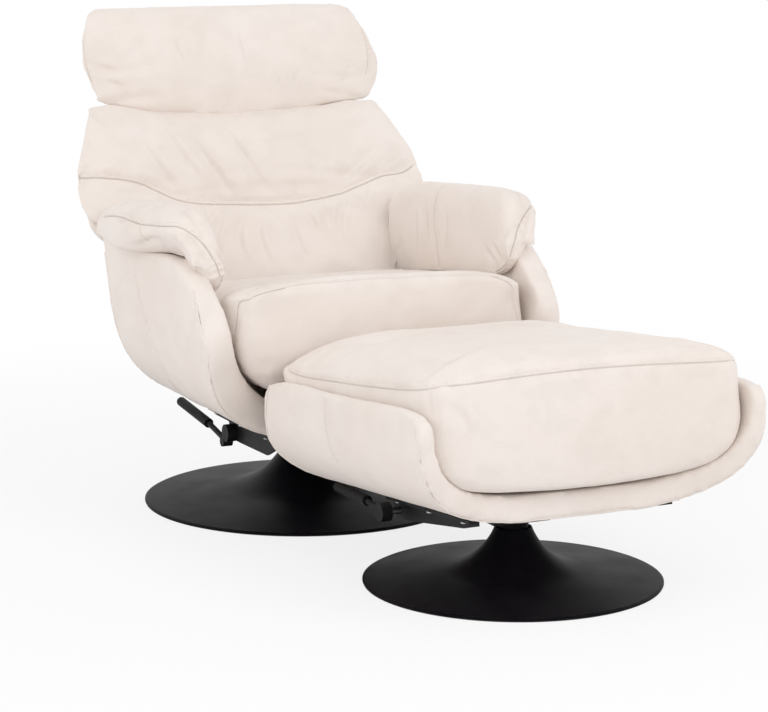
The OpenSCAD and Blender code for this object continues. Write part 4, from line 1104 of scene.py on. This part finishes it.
@dataclass
class SeatPads:
    """The seat cushion and the two arm pads."""

    seat_front: float = -0.402

    def seat_lines(self) -> list[Line]:
        """The seam that borders the cushion's front panel, and a few soft creases."""
        y = self.seat_front
        border = [(-0.314, y + 0.06, 0.36), (-0.318, y + 0.03, 0.41), (-0.314, y + 0.014, 0.45),
                  (-0.298, y + 0.008, 0.474), (-0.228, y + 0.008, 0.491), (-0.10, y + 0.012, 0.498),
                  (0.0, y + 0.012, 0.498), (0.12, y + 0.012, 0.495), (0.205, y + 0.008, 0.491),
                  (0.258, y + 0.002, 0.480), (0.284, y, 0.46), (0.291, y, 0.42), (0.291, y + 0.006, 0.37),
                  (0.285, y + 0.02, 0.33)]
        creases = [((-0.283, -0.386, 0.478), (-0.232, -0.352, 0.484), (-0.157, -0.304, 0.483)),
                   ((0.24, -0.36, 0.49), (0.20, -0.31, 0.495), (0.15, -0.29, 0.495))]
        return [Line(Kind.SEAM, border, depth=0.0022, shade=0.34), *folds(creases, 0.014, 0.0020, 0.7)]

    def arm_lines(self) -> list[Line]:
        """The seams and folds of the left arm pad."""
        ridge = [(-0.375, 0.165, 0.575), (-0.388, 0.028, 0.592), (-0.393, -0.038, 0.596), (-0.4, -0.147, 0.597),
                 (-0.388, -0.235, 0.602), (-0.364, -0.276, 0.603), (-0.342, -0.293, 0.59), (-0.321, -0.305, 0.567),
                 (-0.306, -0.315, 0.538), (-0.298, -0.312, 0.512), (-0.291, -0.294, 0.489), (-0.29, -0.25, 0.468)]
        outer = [(-0.398, -0.142, 0.594), (-0.408, -0.154, 0.573), (-0.411, -0.168, 0.55), (-0.41, -0.172, 0.532)]
        inner = [(-0.31, 0.01, 0.625), (-0.29, 0.006, 0.58), (-0.286, 0.004, 0.535), (-0.286, -0.005, 0.504),
                 (-0.286, -0.01, 0.474), (-0.29, -0.017, 0.446)]
        creases = [
            ((-0.366, -0.274, 0.598), (-0.38, -0.28, 0.579), (-0.388, -0.276, 0.557), (-0.395, -0.26, 0.54)),
            ((-0.361, -0.283, 0.598), (-0.344, -0.299, 0.583), (-0.334, -0.307, 0.565), (-0.329, -0.317, 0.54)),
            ((-0.305, -0.314, 0.541), (-0.331, -0.318, 0.533), (-0.354, -0.312, 0.525)),
            ((-0.337, -0.305, 0.568), (-0.328, -0.311, 0.554), (-0.323, -0.318, 0.533)),
            ((-0.391, 0.037, 0.585), (-0.394, -0.03, 0.589), (-0.39, -0.088, 0.598)),
            ((-0.352, -0.21, 0.629), (-0.343, -0.25, 0.622), (-0.333, -0.286, 0.602), (-0.32, -0.301, 0.578)),
            ((-0.412, -0.09, 0.545), (-0.41, -0.196, 0.547), (-0.399, -0.251, 0.554)),
            ((-0.286, -0.215, 0.525), (-0.286, -0.249, 0.508), (-0.286, -0.280, 0.49)),
            ((-0.286, -0.255, 0.535), (-0.286, -0.287, 0.51), (-0.287, -0.297, 0.491)),
            ((-0.312, -0.30, 0.572), (-0.293, -0.304, 0.552), (-0.286, -0.285, 0.53)),
            ((-0.291, 0.04, 0.59), (-0.286, 0.03, 0.544), (-0.286, 0.02, 0.49)),
            ((-0.287, 0.075, 0.57), (-0.286, 0.065, 0.515), (-0.288, 0.07, 0.455)),
            ((-0.290, -0.05, 0.585), (-0.286, -0.055, 0.54), (-0.287, -0.05, 0.485)),
        ]
        return [Line(Kind.SEAM, ridge, 0.013, 0.0048, 0.0016), Line(Kind.SEAM, outer, 0.007, 0.0014, shade=0.2),
                Line(Kind.SEAM, inner, 0.007, 0.0014, shade=0.25), *folds(creases, 0.010, 0.0040, 0.6)]

    def nose(self, side: float) -> tuple[list[Blob], list[Nudge]]:
        """What makes the front end of an arm pad full, over the shell's corner.

        Args:
            side: -1 for the left pad, 1 for the right.

        Returns:
            The lumps and the shifts of the skin.
        """
        blobs = [Blob((side * 0.340, -0.272, 0.545), (0.052, 0.042, 0.040)),
                 Blob((side * 0.318, -0.288, 0.528), (0.030, 0.030, 0.042)),
                 Blob((side * 0.362, -0.225, 0.565), (0.036, 0.060, 0.028))]
        nudges = [Nudge((side * 0.415, -0.235, 0.520), (0.06, 0.12, 0.05), (side * -0.052, 0.010, 0.022)),
                  Nudge((side * 0.285, 0.14, 0.53), (0.06, 0.10, 0.20), (side * -0.016, 0.014, 0)),
                  Nudge((side * 0.40, 0.13, 0.56), (0.06, 0.15, 0.09), (side * -0.017, 0, 0))]
        return blobs, nudges

    def build(self) -> list[Cushion]:
        """Makes the seat cushion and both arm pads."""
        down = Vector((0, 0, -1))
        edge = [Nudge((0, self.seat_front + 0.01, 0.48), (9, 0.08, 0.05), (0, 0, 0.016)),
                Nudge((-0.12, self.seat_front + 0.01, 0.48), (0.16, 0.08, 0.05), (0, 0, 0.006)),
                Nudge((-0.31, self.seat_front, 0.47), (0.06, 0.06, 0.06), (0.010, 0.012, -0.008)),
                Nudge((0.31, self.seat_front, 0.47), (0.07, 0.07, 0.07), (-0.013, 0.020, -0.018))]
        pads = [Cushion("seat_pad", "seat", ["seat_cushion"], self.seat_lines(), 0.7, held=down, cap=0.022,
                        voxel=0.0068, nudges=edge)]
        for name, side in (("left", -1.0), ("right", 1.0)):
            lines = self.arm_lines() if side < 0 else mirrored(self.arm_lines())
            blobs, nudges = self.nose(side)
            pads.append(Cushion(f"arm_pad_cover_{name}", "seat", [f"arm_pad_{name}"], lines, 0.6, voxel=0.005,
                                held=down, cap=0.016, slack=0.003, blobs=blobs, nudges=nudges))
        return pads


@dataclass
class Backrest:
    """The reclining back: its cushion and its padded rear cover."""

    hinge: tuple[float, float] = (0.171, 0.369)
    lean: float = 31.0

    def at(self, x: float, v: float, s: float) -> Point:
        """A place in the back's own frame, v towards its rear and s up it, in the row frame."""
        a = math.radians(self.lean)
        return (x, self.hinge[0] + v * math.cos(a) + s * math.sin(a), self.hinge[1] - v * math.sin(a) + s * math.cos(a))

    def cushion_lines(self) -> list[Line]:
        """The sewn channel, the folds over it and the soft pleats under it."""
        seam = [(-0.380, 0.285, 0.636), (-0.371, 0.265, 0.635), (-0.325, 0.258, 0.632), (-0.283, 0.252, 0.627),
                (-0.232, 0.247, 0.612), (-0.182, 0.233, 0.591), (-0.132, 0.224, 0.579), (-0.063, 0.222, 0.573),
                (0.006, 0.219, 0.57), (0.09, 0.219, 0.57), (0.181, 0.226, 0.583), (0.277, 0.245, 0.608),
                (0.34, 0.251, 0.617), (0.378, 0.27, 0.63)]
        over = [
            ((-0.18, 0.325, 0.745), (-0.164, 0.295, 0.706), (-0.147, 0.272, 0.674), (-0.127, 0.252, 0.643),
             (-0.107, 0.241, 0.61), (-0.09, 0.232, 0.585)),
            ((-0.24, 0.31, 0.725), (-0.214, 0.277, 0.681), (-0.198, 0.257, 0.65), (-0.177, 0.246, 0.617),
             (-0.155, 0.236, 0.59)),
            ((-0.055, 0.33, 0.74), (-0.035, 0.30, 0.705), (-0.007, 0.261, 0.657), (0.012, 0.242, 0.621),
             (0.035, 0.226, 0.578)),
            ((-0.135, 0.31, 0.725), (-0.104, 0.276, 0.68), (-0.085, 0.253, 0.645), (-0.06, 0.236, 0.60)),
            ((-0.101, 0.273, 0.676), (-0.084, 0.255, 0.649), (-0.068, 0.242, 0.616), (-0.045, 0.226, 0.58)),
            ((0.30, 0.27, 0.668), (0.262, 0.256, 0.643), (0.215, 0.246, 0.61), (0.177, 0.231, 0.589)),
            ((0.36, 0.272, 0.664), (0.313, 0.257, 0.638), (0.265, 0.247, 0.612)),
        ]
        under = [
            ((-0.088, 0.22, 0.575), (-0.123, 0.204, 0.542), (-0.145, 0.185, 0.505)),
            ((-0.066, 0.216, 0.568), (-0.091, 0.201, 0.537), (-0.108, 0.182, 0.503), (-0.105, 0.16, 0.465)),
            ((-0.022, 0.215, 0.565), (-0.05, 0.195, 0.527), (-0.057, 0.173, 0.489), (-0.045, 0.145, 0.44)),
            ((0.014, 0.214, 0.562), (-0.009, 0.194, 0.525), (-0.010, 0.172, 0.486), (0.005, 0.14, 0.435)),
            ((0.055, 0.214, 0.562), (0.064, 0.192, 0.521), (0.073, 0.169, 0.482), (0.08, 0.145, 0.44)),
            ((0.098, 0.213, 0.561), (0.11, 0.197, 0.53), (0.117, 0.175, 0.492)),
            ((0.160, 0.219, 0.570), (0.148, 0.202, 0.539), (0.147, 0.183, 0.505)),
            ((0.212, 0.226, 0.584), (0.183, 0.209, 0.551), (0.168, 0.192, 0.519), (0.166, 0.165, 0.475)),
            ((-0.138, 0.222, 0.576), (-0.158, 0.211, 0.555), (-0.174, 0.20, 0.535)),
            ((-0.19, 0.235, 0.60), (-0.21, 0.22, 0.565), (-0.22, 0.20, 0.53)),
            ((0.262, 0.242, 0.60), (0.235, 0.222, 0.565), (0.222, 0.20, 0.53)),
        ]
        return [Line(Kind.SEAM, seam, 0.014, 0.0042, 0.0010), *folds(over, 0.013, 0.0046, 0.75),
                *folds(under, 0.010, 0.0036, 0.7)]

    def cover_lines(self) -> list[Line]:
        """The seam across the rear cover and the seam down its middle."""
        rear = 0.075
        down = [self.at(0.0, rear, s) for s in (0.06, 0.15, 0.25, 0.35, 0.40)]
        yoke = [self.at(x, rear, 0.285 - 0.4 * x * x) for x in (-0.3, -0.2, -0.1, 0.0, 0.1, 0.2, 0.3)]
        return [Line(Kind.SEAM, down, depth=0.0012), Line(Kind.SEAM, yoke, depth=0.0012)]

    def build(self) -> list[Cushion]:
        """Makes the cushion and the rear cover."""
        a = math.radians(self.lean)
        rear = Vector((0, math.cos(a), -math.sin(a)))
        higher = [Nudge(self.at(x, -0.02, 0.425), (wide, 0.075, 0.075), (0, up * math.sin(a), up * math.cos(a)))
                  for x, wide, up in ((0, 9, 0.016), (-0.27, 0.07, 0.014), (0.27, 0.07, 0.004))]
        wider = [Nudge(self.at(x, -0.04, 0.03), (0.08, 0.09, 0.10), (x * 0.14, 0, 0)) for x in (-0.25, 0.25)]
        return [
            Cushion("back_pad", "back", ["back_cushion"], self.cushion_lines(), 0.6, held=rear, cap=0.022,
                    nudges=higher + wider),
            Cushion("back_rear_cover", "back", ["back_shell"], self.cover_lines(), 0.8, firm=True, even=10,
                    wave=0.0008),
        ]


@dataclass
class Headrest:
    """The headrest roll: its cushion with end seams."""

    back: Backrest
    rise: float = 0.472
    forward: float = -0.022
    lean: float = 22.0

    def at(self, x: float, v: float, s: float) -> Point:
        """A place in the headrest's own frame, in the row frame."""
        _, y, z = self.back.at(0, self.forward, self.rise)
        a = math.radians(self.lean)
        return (x, y + v * math.cos(a) + s * math.sin(a), z - v * math.sin(a) + s * math.cos(a))

    def lines(self) -> list[Line]:
        """The end seams, and the creases along the roll's lower edge."""
        end = [self.at(-x, v, s) for x, v, s in (
            (0.262, 0.01, 0.186), (0.283, -0.012, 0.18), (0.299, -0.024, 0.15), (0.312, -0.032, 0.10),
            (0.313, -0.032, 0.05), (0.306, -0.028, 0.012))]
        seam = Line(Kind.SEAM, end, 0.006, 0.0012, 0.0008, shade=0.14)
        creases = [
            ((-0.29, -0.04, 0.03), (-0.26, -0.045, 0.012), (-0.22, -0.046, 0.004)),
            ((-0.30, -0.035, 0.06), (-0.27, -0.045, 0.045), (-0.24, -0.05, 0.038)),
            ((0.29, -0.04, 0.02), (0.26, -0.045, 0.006), (0.215, -0.046, -0.002)),
            ((0.30, -0.035, 0.045), (0.27, -0.045, 0.03), (0.24, -0.05, 0.026)),
            ((0.155, -0.046, 0.038), (0.14, -0.044, 0.015), (0.12, -0.04, -0.01)),
            ((0.115, -0.046, 0.03), (0.10, -0.044, 0.008), (0.085, -0.04, -0.015)),
            ((-0.12, -0.05, 0.12), (-0.115, -0.05, 0.08), (-0.10, -0.048, 0.04)),
            ((0.02, -0.05, 0.13), (0.025, -0.05, 0.08), (0.03, -0.048, 0.03)),
        ]
        return [seam, *mirrored([seam]), *folds([[self.at(*p) for p in c] for c in creases], 0.010, 0.0026, 0.6)]

    def build(self) -> list[Cushion]:
        """Makes the headrest's cushion."""
        a = math.radians(self.lean)
        rear = Vector((0, math.cos(a), -math.sin(a)))
        nudges = [Nudge(self.at(x, v, s), reach, (out, up * math.sin(a) + back, up * math.cos(a) + rise))
                  for x, v, s, reach, out, up, back, rise in (
                      (0, 0, -0.05, (9, 0.05, 0.05), 0, -0.004, 0, 0),
                      (0, 0, -0.05, (0.2, 0.05, 0.05), 0, -0.006, 0, 0),
                      (-0.30, -0.01, -0.035, (0.08, 0.05, 0.05), 0.004, 0.011, 0, 0),
                      (0.305, -0.015, 0.015, (0.09, 0.07, 0.075), 0.026, 0, -0.002, -0.004))]
        blobs = [Blob(self.at(x, -0.014, -0.037), (0.06, 0.014, 0.019)) for x in (-0.05, 0.0, 0.05)]
        return [Cushion("headrest_pad", "headrest", ["headrest_cushion"], self.lines(), 0.75, held=rear, cap=0.018,
                        voxel=0.0055, blobs=blobs, nudges=nudges)]


@dataclass
class Footstool:
    """The footstool's padded tray and cushion, which lean a little to the rear."""

    middle: Point = (0.090, -0.728, 0.0)
    axle: tuple[float, float] = (-0.658, 0.131)
    tilt: float = 5.0
    flare: float = 0.045
    band: Band = Band(
        half_w=0.330, low_z=0.144, bend_z=0.350, top_z=0.350, squareness=3.2, front=0.318, rear=0.328,
        insets=(0.007, 0.009),
        front_shares=((0, 0.80), (0.22, 0.915), (0.54, 1), (0.85, 0.98), (1, 0.955)),
        rear_shares=((0, 0.72), (0.06, 0.81), (0.12, 0.88), (0.33, 1), (0.5, 1), (0.85, 0.92), (1, 0.87)))

    def at(self, x: float, y: float, z: float) -> Point:
        """A place in the tray's own frame, from the column, in the row frame."""
        wide = x * (1 + self.flare * (y + self.band.front) / (self.band.front + self.band.rear))
        a = math.radians(self.tilt)
        dy, dz = y + self.middle[1] - self.axle[0], z - self.axle[1]
        return (wide + self.middle[0], self.axle[0] + dy * math.cos(a) + dz * math.sin(a),
                self.axle[1] - dy * math.sin(a) + dz * math.cos(a))

    def moved(self, points: Sequence[Point], side: float = 1.0) -> list[Point]:
        """Places in the tray's own frame, on one side or mirrored, in the row frame."""
        return [self.at(side * x, y, z) for x, y, z in points]

    def tray_lines(self) -> list[Line]:
        """The welts along the tray's edges and the seams across its sides."""
        side = [(0.325, 0.045, 0.345), (0.328, 0.045, 0.31), (0.32, 0.045, 0.27), (0.3, 0.045, 0.225)]
        cross = [(0.303, -0.312, 0.272), (0.312, -0.318, 0.270), (0.322, -0.312, 0.268)]
        return [*(Line(Kind.WELT, self.moved(edge), 0.006, 0.0008) for edge in self.band.edges()),
                *(Line(Kind.SEAM, self.moved(side, s), depth=0.0012, shade=0.2) for s in (-1.0, 1.0)),
                Line(Kind.FOLD, self.moved(cross), 0.003, 0.0012, 0, 0.2)]

    def cushion_lines(self) -> list[Line]:
        """The seam round the cushion's top panel, a crease down one of its front corners, and its soft creases."""
        half = [(0.0, 0.288, 0.366), (0.2, 0.288, 0.366), (0.268, 0.279, 0.366), (0.292, 0.245, 0.366),
                (0.298, 0.15, 0.366), (0.299, 0.0, 0.369), (0.298, -0.15, 0.375), (0.292, -0.24, 0.381),
                (0.276, -0.284, 0.386), (0.2, -0.3, 0.392), (0.1, -0.302, 0.3965), (0.0, -0.302, 0.3985)]
        loop = self.moved(half, -1.0) + self.moved(half[-2::-1])
        corner = self.moved([(-0.285, -0.283, 0.396), (-0.29, -0.284, 0.37), (-0.285, -0.288, 0.34)])
        creases = [self.moved(c) for c in (
            [(-0.27, -0.29, 0.37), (-0.24, -0.30, 0.345), (-0.225, -0.302, 0.30)],
            [(-0.25, -0.26, 0.415), (-0.23, -0.22, 0.425), (-0.19, -0.19, 0.43)],
            [(0.25, -0.26, 0.415), (0.22, -0.23, 0.425), (0.19, -0.21, 0.43)])]
        return [Line(Kind.SEAM, loop, 0.009, 0.0024, 0.0006, 0.002, shade=0.32),
                Line(Kind.FOLD, corner, 0.008, 0.002, 0, 0.4), *folds(creases, 0.014, 0.0020, 0.7)]

    def fullness(self) -> list[Nudge]:
        """Shifts of the cushion's skin: lower at its rear edges, and full down to the tray's lip."""
        sides = (-1.0, 1.0)
        return [
            *(Nudge(self.at(s * 0.30, 0.08, 0.40), (0.06, 0.30, 0.045), (s * -0.002, 0, -0.020)) for s in sides),
            Nudge(self.at(0, 0.29, 0.40), (0.28, 0.06, 0.045), (0, 0, -0.014)),
            *(Nudge(self.at(s * 0.30, 0.26, 0.385), (0.08, 0.12, 0.06), (s * 0.010, 0.010, -0.010)) for s in sides),
            *(Nudge(self.at(s * 0.30, -0.30, 0.405), (0.10, 0.10, 0.04), (0, 0, -0.006)) for s in sides),
            Nudge(self.at(0, -0.295, 0.215), (0.26, 0.07, 0.05), (0, -0.012, -0.020)),
            *(Nudge(self.at(s * 0.25, -0.29, 0.26), (0.09, 0.07, 0.07), (s * 0.008, -0.010, -0.012)) for s in sides),
        ]

    def build(self) -> list[Cushion]:
        """Makes the tray and its cushion."""
        down = Vector((0, 0, -1))
        return [
            Cushion("footstool_tray", "stool_tray", ["stool_shell"], self.tray_lines(), 0.9, firm=True, even=8,
                    voxel=0.0068, wave=0.0009),
            Cushion("footstool_pad", "stool_tray", ["stool_cushion"], self.cushion_lines(), 0.7, held=down, cap=0.022,
                    voxel=0.0072, slack=0.001, nudges=self.fullness()),
        ]


class Hardware:
    """The rigid pieces, which keep their shape and get their finish."""

    def __init__(self, effects: Effects) -> None:
        """Makes the finishes."""
        self.paint = Coating("black_base_paint", tone(13, 11, 16), 0.42, gloss=0.06, dust=0.012).make(effects)
        self.bracket = Coating("black_bracket_paint", tone(20, 19, 22), 0.5, gloss=0.2).make(effects)
        self.plastic = Coating("black_moulding", tone(20, 19, 22), 0.55, 0.0012, 0.00008, gloss=0.2).make(effects)
        self.grip = Coating("grip_sleeve", tone(18, 17, 20), 0.62, 0.002, 0.00018, gloss=0.2).make(effects)
        self.steel = Steel("turned_steel").make(effects)
        self.steel_up = Steel("turned_steel_upright", stretch=(900.0, 900.0, 4.0)).make(effects)
        self.felt = Weave("floor_felt", tone(58, 56, 58), 0.0018, 0.0004).make(effects)
        self.web = Weave("elastic_webbing", tone(40, 40, 44), 0.0016, 0.0004).make(effects)
        self.board = Wood("board").make(effects)

    def finish_for(self, node: str) -> bpy.types.Material:
        """The finish of a frame node, by its name."""
        words = (
            ("floor_pad", self.felt), ("weight_plate", self.bracket), ("base_cover", self.paint),
            ("column_bush", self.plastic), ("screws", self.steel_up), ("column", self.paint),
            ("spindle_clip", self.steel), ("spindle", self.steel_up), ("washer", self.plastic),
            ("swivel_bracket", self.bracket), ("tilt_axle", self.steel), ("spacers", self.plastic),
            ("clutch", self.steel), ("rails", self.bracket), ("battens", self.board), ("platform", self.board),
            ("lever_hub", self.plastic), ("lever_rod", self.bracket), ("lever_grip", self.grip), ("straps", self.web),
            ("hinge_discs", self.steel), ("pin", self.steel), ("bracket", self.bracket), ("frame", self.bracket),
        )
        return next((material for word, material in words if word in node), self.bracket)

    def dress(self) -> None:
        """Gives each frame node that still shows its finish."""
        for name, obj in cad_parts.items():
            if obj.hide_render:
                continue
            finish = self.finish_for(name)
            if not obj.material_slots:
                obj.data.materials.append(finish)
            for slot in obj.material_slots:
                slot.material = finish
            LOG.info("%s: %s", name, finish.name)


@dataclass
class Studio:
    """Floor, light and camera."""

    camera_at: Point = (-1.98977, -4.68101, 1.23871)
    azimuth: float = -24.82
    pitch: float = 10.6
    lens: float = 121.875
    sensor: float = 36.0
    light_share: float = 0.85        # of the white surround that lights the object
    mirror_share: float = 0.4        # of it that shows in reflections
    lamp_colour: Point = (1.0, 0.99, 0.985)
    floor_half: float = 30.0
    floor_drop: float = 0.0006       # under the felt pads

    def camera(self) -> None:
        """Places the camera where the photograph was taken from."""
        data = bpy.data.cameras.new("camera")
        data.lens, data.sensor_width, data.sensor_fit = self.lens, self.sensor, "HORIZONTAL"
        data.clip_start, data.clip_end = 0.05, 60
        obj = bpy.data.objects.new("camera", data)
        obj.location = self.camera_at
        obj.rotation_euler = (math.radians(90 - self.pitch), 0, math.radians(self.azimuth))
        bpy.context.scene.collection.objects.link(obj)
        bpy.context.scene.camera = obj

    def world(self) -> None:
        """A white surround that also shows in reflections, and gives part of the light."""
        world = bpy.data.worlds.new("studio")
        world.use_nodes = True
        bpy.context.scene.world = world
        tree = Tree(world.node_tree)
        back = world.node_tree.nodes["Background"]
        path = tree.add("LightPath")
        seen = tree.math("MAXIMUM", path.outputs["Is Camera Ray"], path.outputs["Is Transmission Ray"])
        mirror = tree.math("MULTIPLY", path.outputs["Is Glossy Ray"], self.mirror_share)
        seen = tree.math("MAXIMUM", seen, mirror)
        mix = tree.add("Mix", data_type="FLOAT", in_0=seen, in_2=self.light_share, in_3=1.0)
        tree.feed(back, "Strength", mix.outputs[0])
        back.inputs["Color"].default_value = (1.0, 0.995, 0.995, 1)

    def lamp(self, name: str, at: Point, to: Point, size: float, power: float) -> None:
        """Adds a soft square lamp that points at a place."""
        data = bpy.data.lights.new(name, "AREA")
        data.shape, data.size, data.energy, data.color = "SQUARE", size, power, self.lamp_colour
        obj = bpy.data.objects.new(name, data)
        obj.location = at
        obj.rotation_euler = (Vector(to) - Vector(at)).to_track_quat("-Z", "Y").to_euler()
        bpy.context.scene.collection.objects.link(obj)

    def floor(self) -> None:
        """A wide pale floor that keeps the object's shadow and fades to white away from it."""
        material, tree, shader = start_material("pale_floor", Base_Color=(0.9, 0.895, 0.895, 1), Roughness=0.9,
                                                Specular_IOR_Level=0.0)
        place = tree.add("TexCoord").outputs["Object"]
        away = tree.add("VectorMath", operation="LENGTH", in_0=place).outputs["Value"]
        fade = tree.ramp(away, 0.8, 2.0, 0.78, 1.0)
        path = tree.add("LightPath").outputs["Is Camera Ray"]
        white = tree.add("Emission", in_Color=(1, 0.997, 1, 1), in_Strength=1.0)
        mix = tree.add("MixShader", in_0=tree.math("MULTIPLY", path, fade), in_1=shader.outputs[0],
                       in_2=white.outputs[0])
        tree.feed(tree.tree.nodes["Material Output"], "Surface", mix.outputs[0])
        mesh = bpy.data.meshes.new("floor")
        half, low = self.floor_half, -self.floor_drop
        corners = [(-half, -half, low), (half, -half, low), (half, half, low), (-half, half, low)]
        mesh.from_pydata(corners, [], [(0, 1, 2, 3)])
        obj = new_piece("floor", mesh)
        mesh.materials.append(material)

    def build(self) -> None:
        """Sets the whole studio up."""
        bpy.context.scene.view_settings.view_transform = "Standard"
        self.camera()
        self.world()
        self.lamp("key", at=(1.6, -4.2, 3.4), to=(0.0, -0.3, 0.5), size=2.6, power=45)
        self.lamp("side", at=(-4.0, -1.0, 2.6), to=(0.0, -0.2, 0.5), size=2.4, power=27)
        self.floor()


def main() -> None:
    """Builds the recliner and its studio."""
    logging.basicConfig(level=logging.INFO, format="%(name)s: %(message)s")
    Studio().build()
    effects = Effects()
    hide = Hide("pebbled_hide").make(effects)
    thread = Thread("sewing_thread").make(effects)
    back = Backrest()
    cushions = [*Shell().build(), *SeatPads().build(), *back.build(), *Headrest(back).build(), *Footstool().build()]
    fill_all(cushions)
    for cushion in cushions:
        cushion.finish(hide, thread)
    Hardware(effects).dress()


if __name__ == "__main__":
    main()
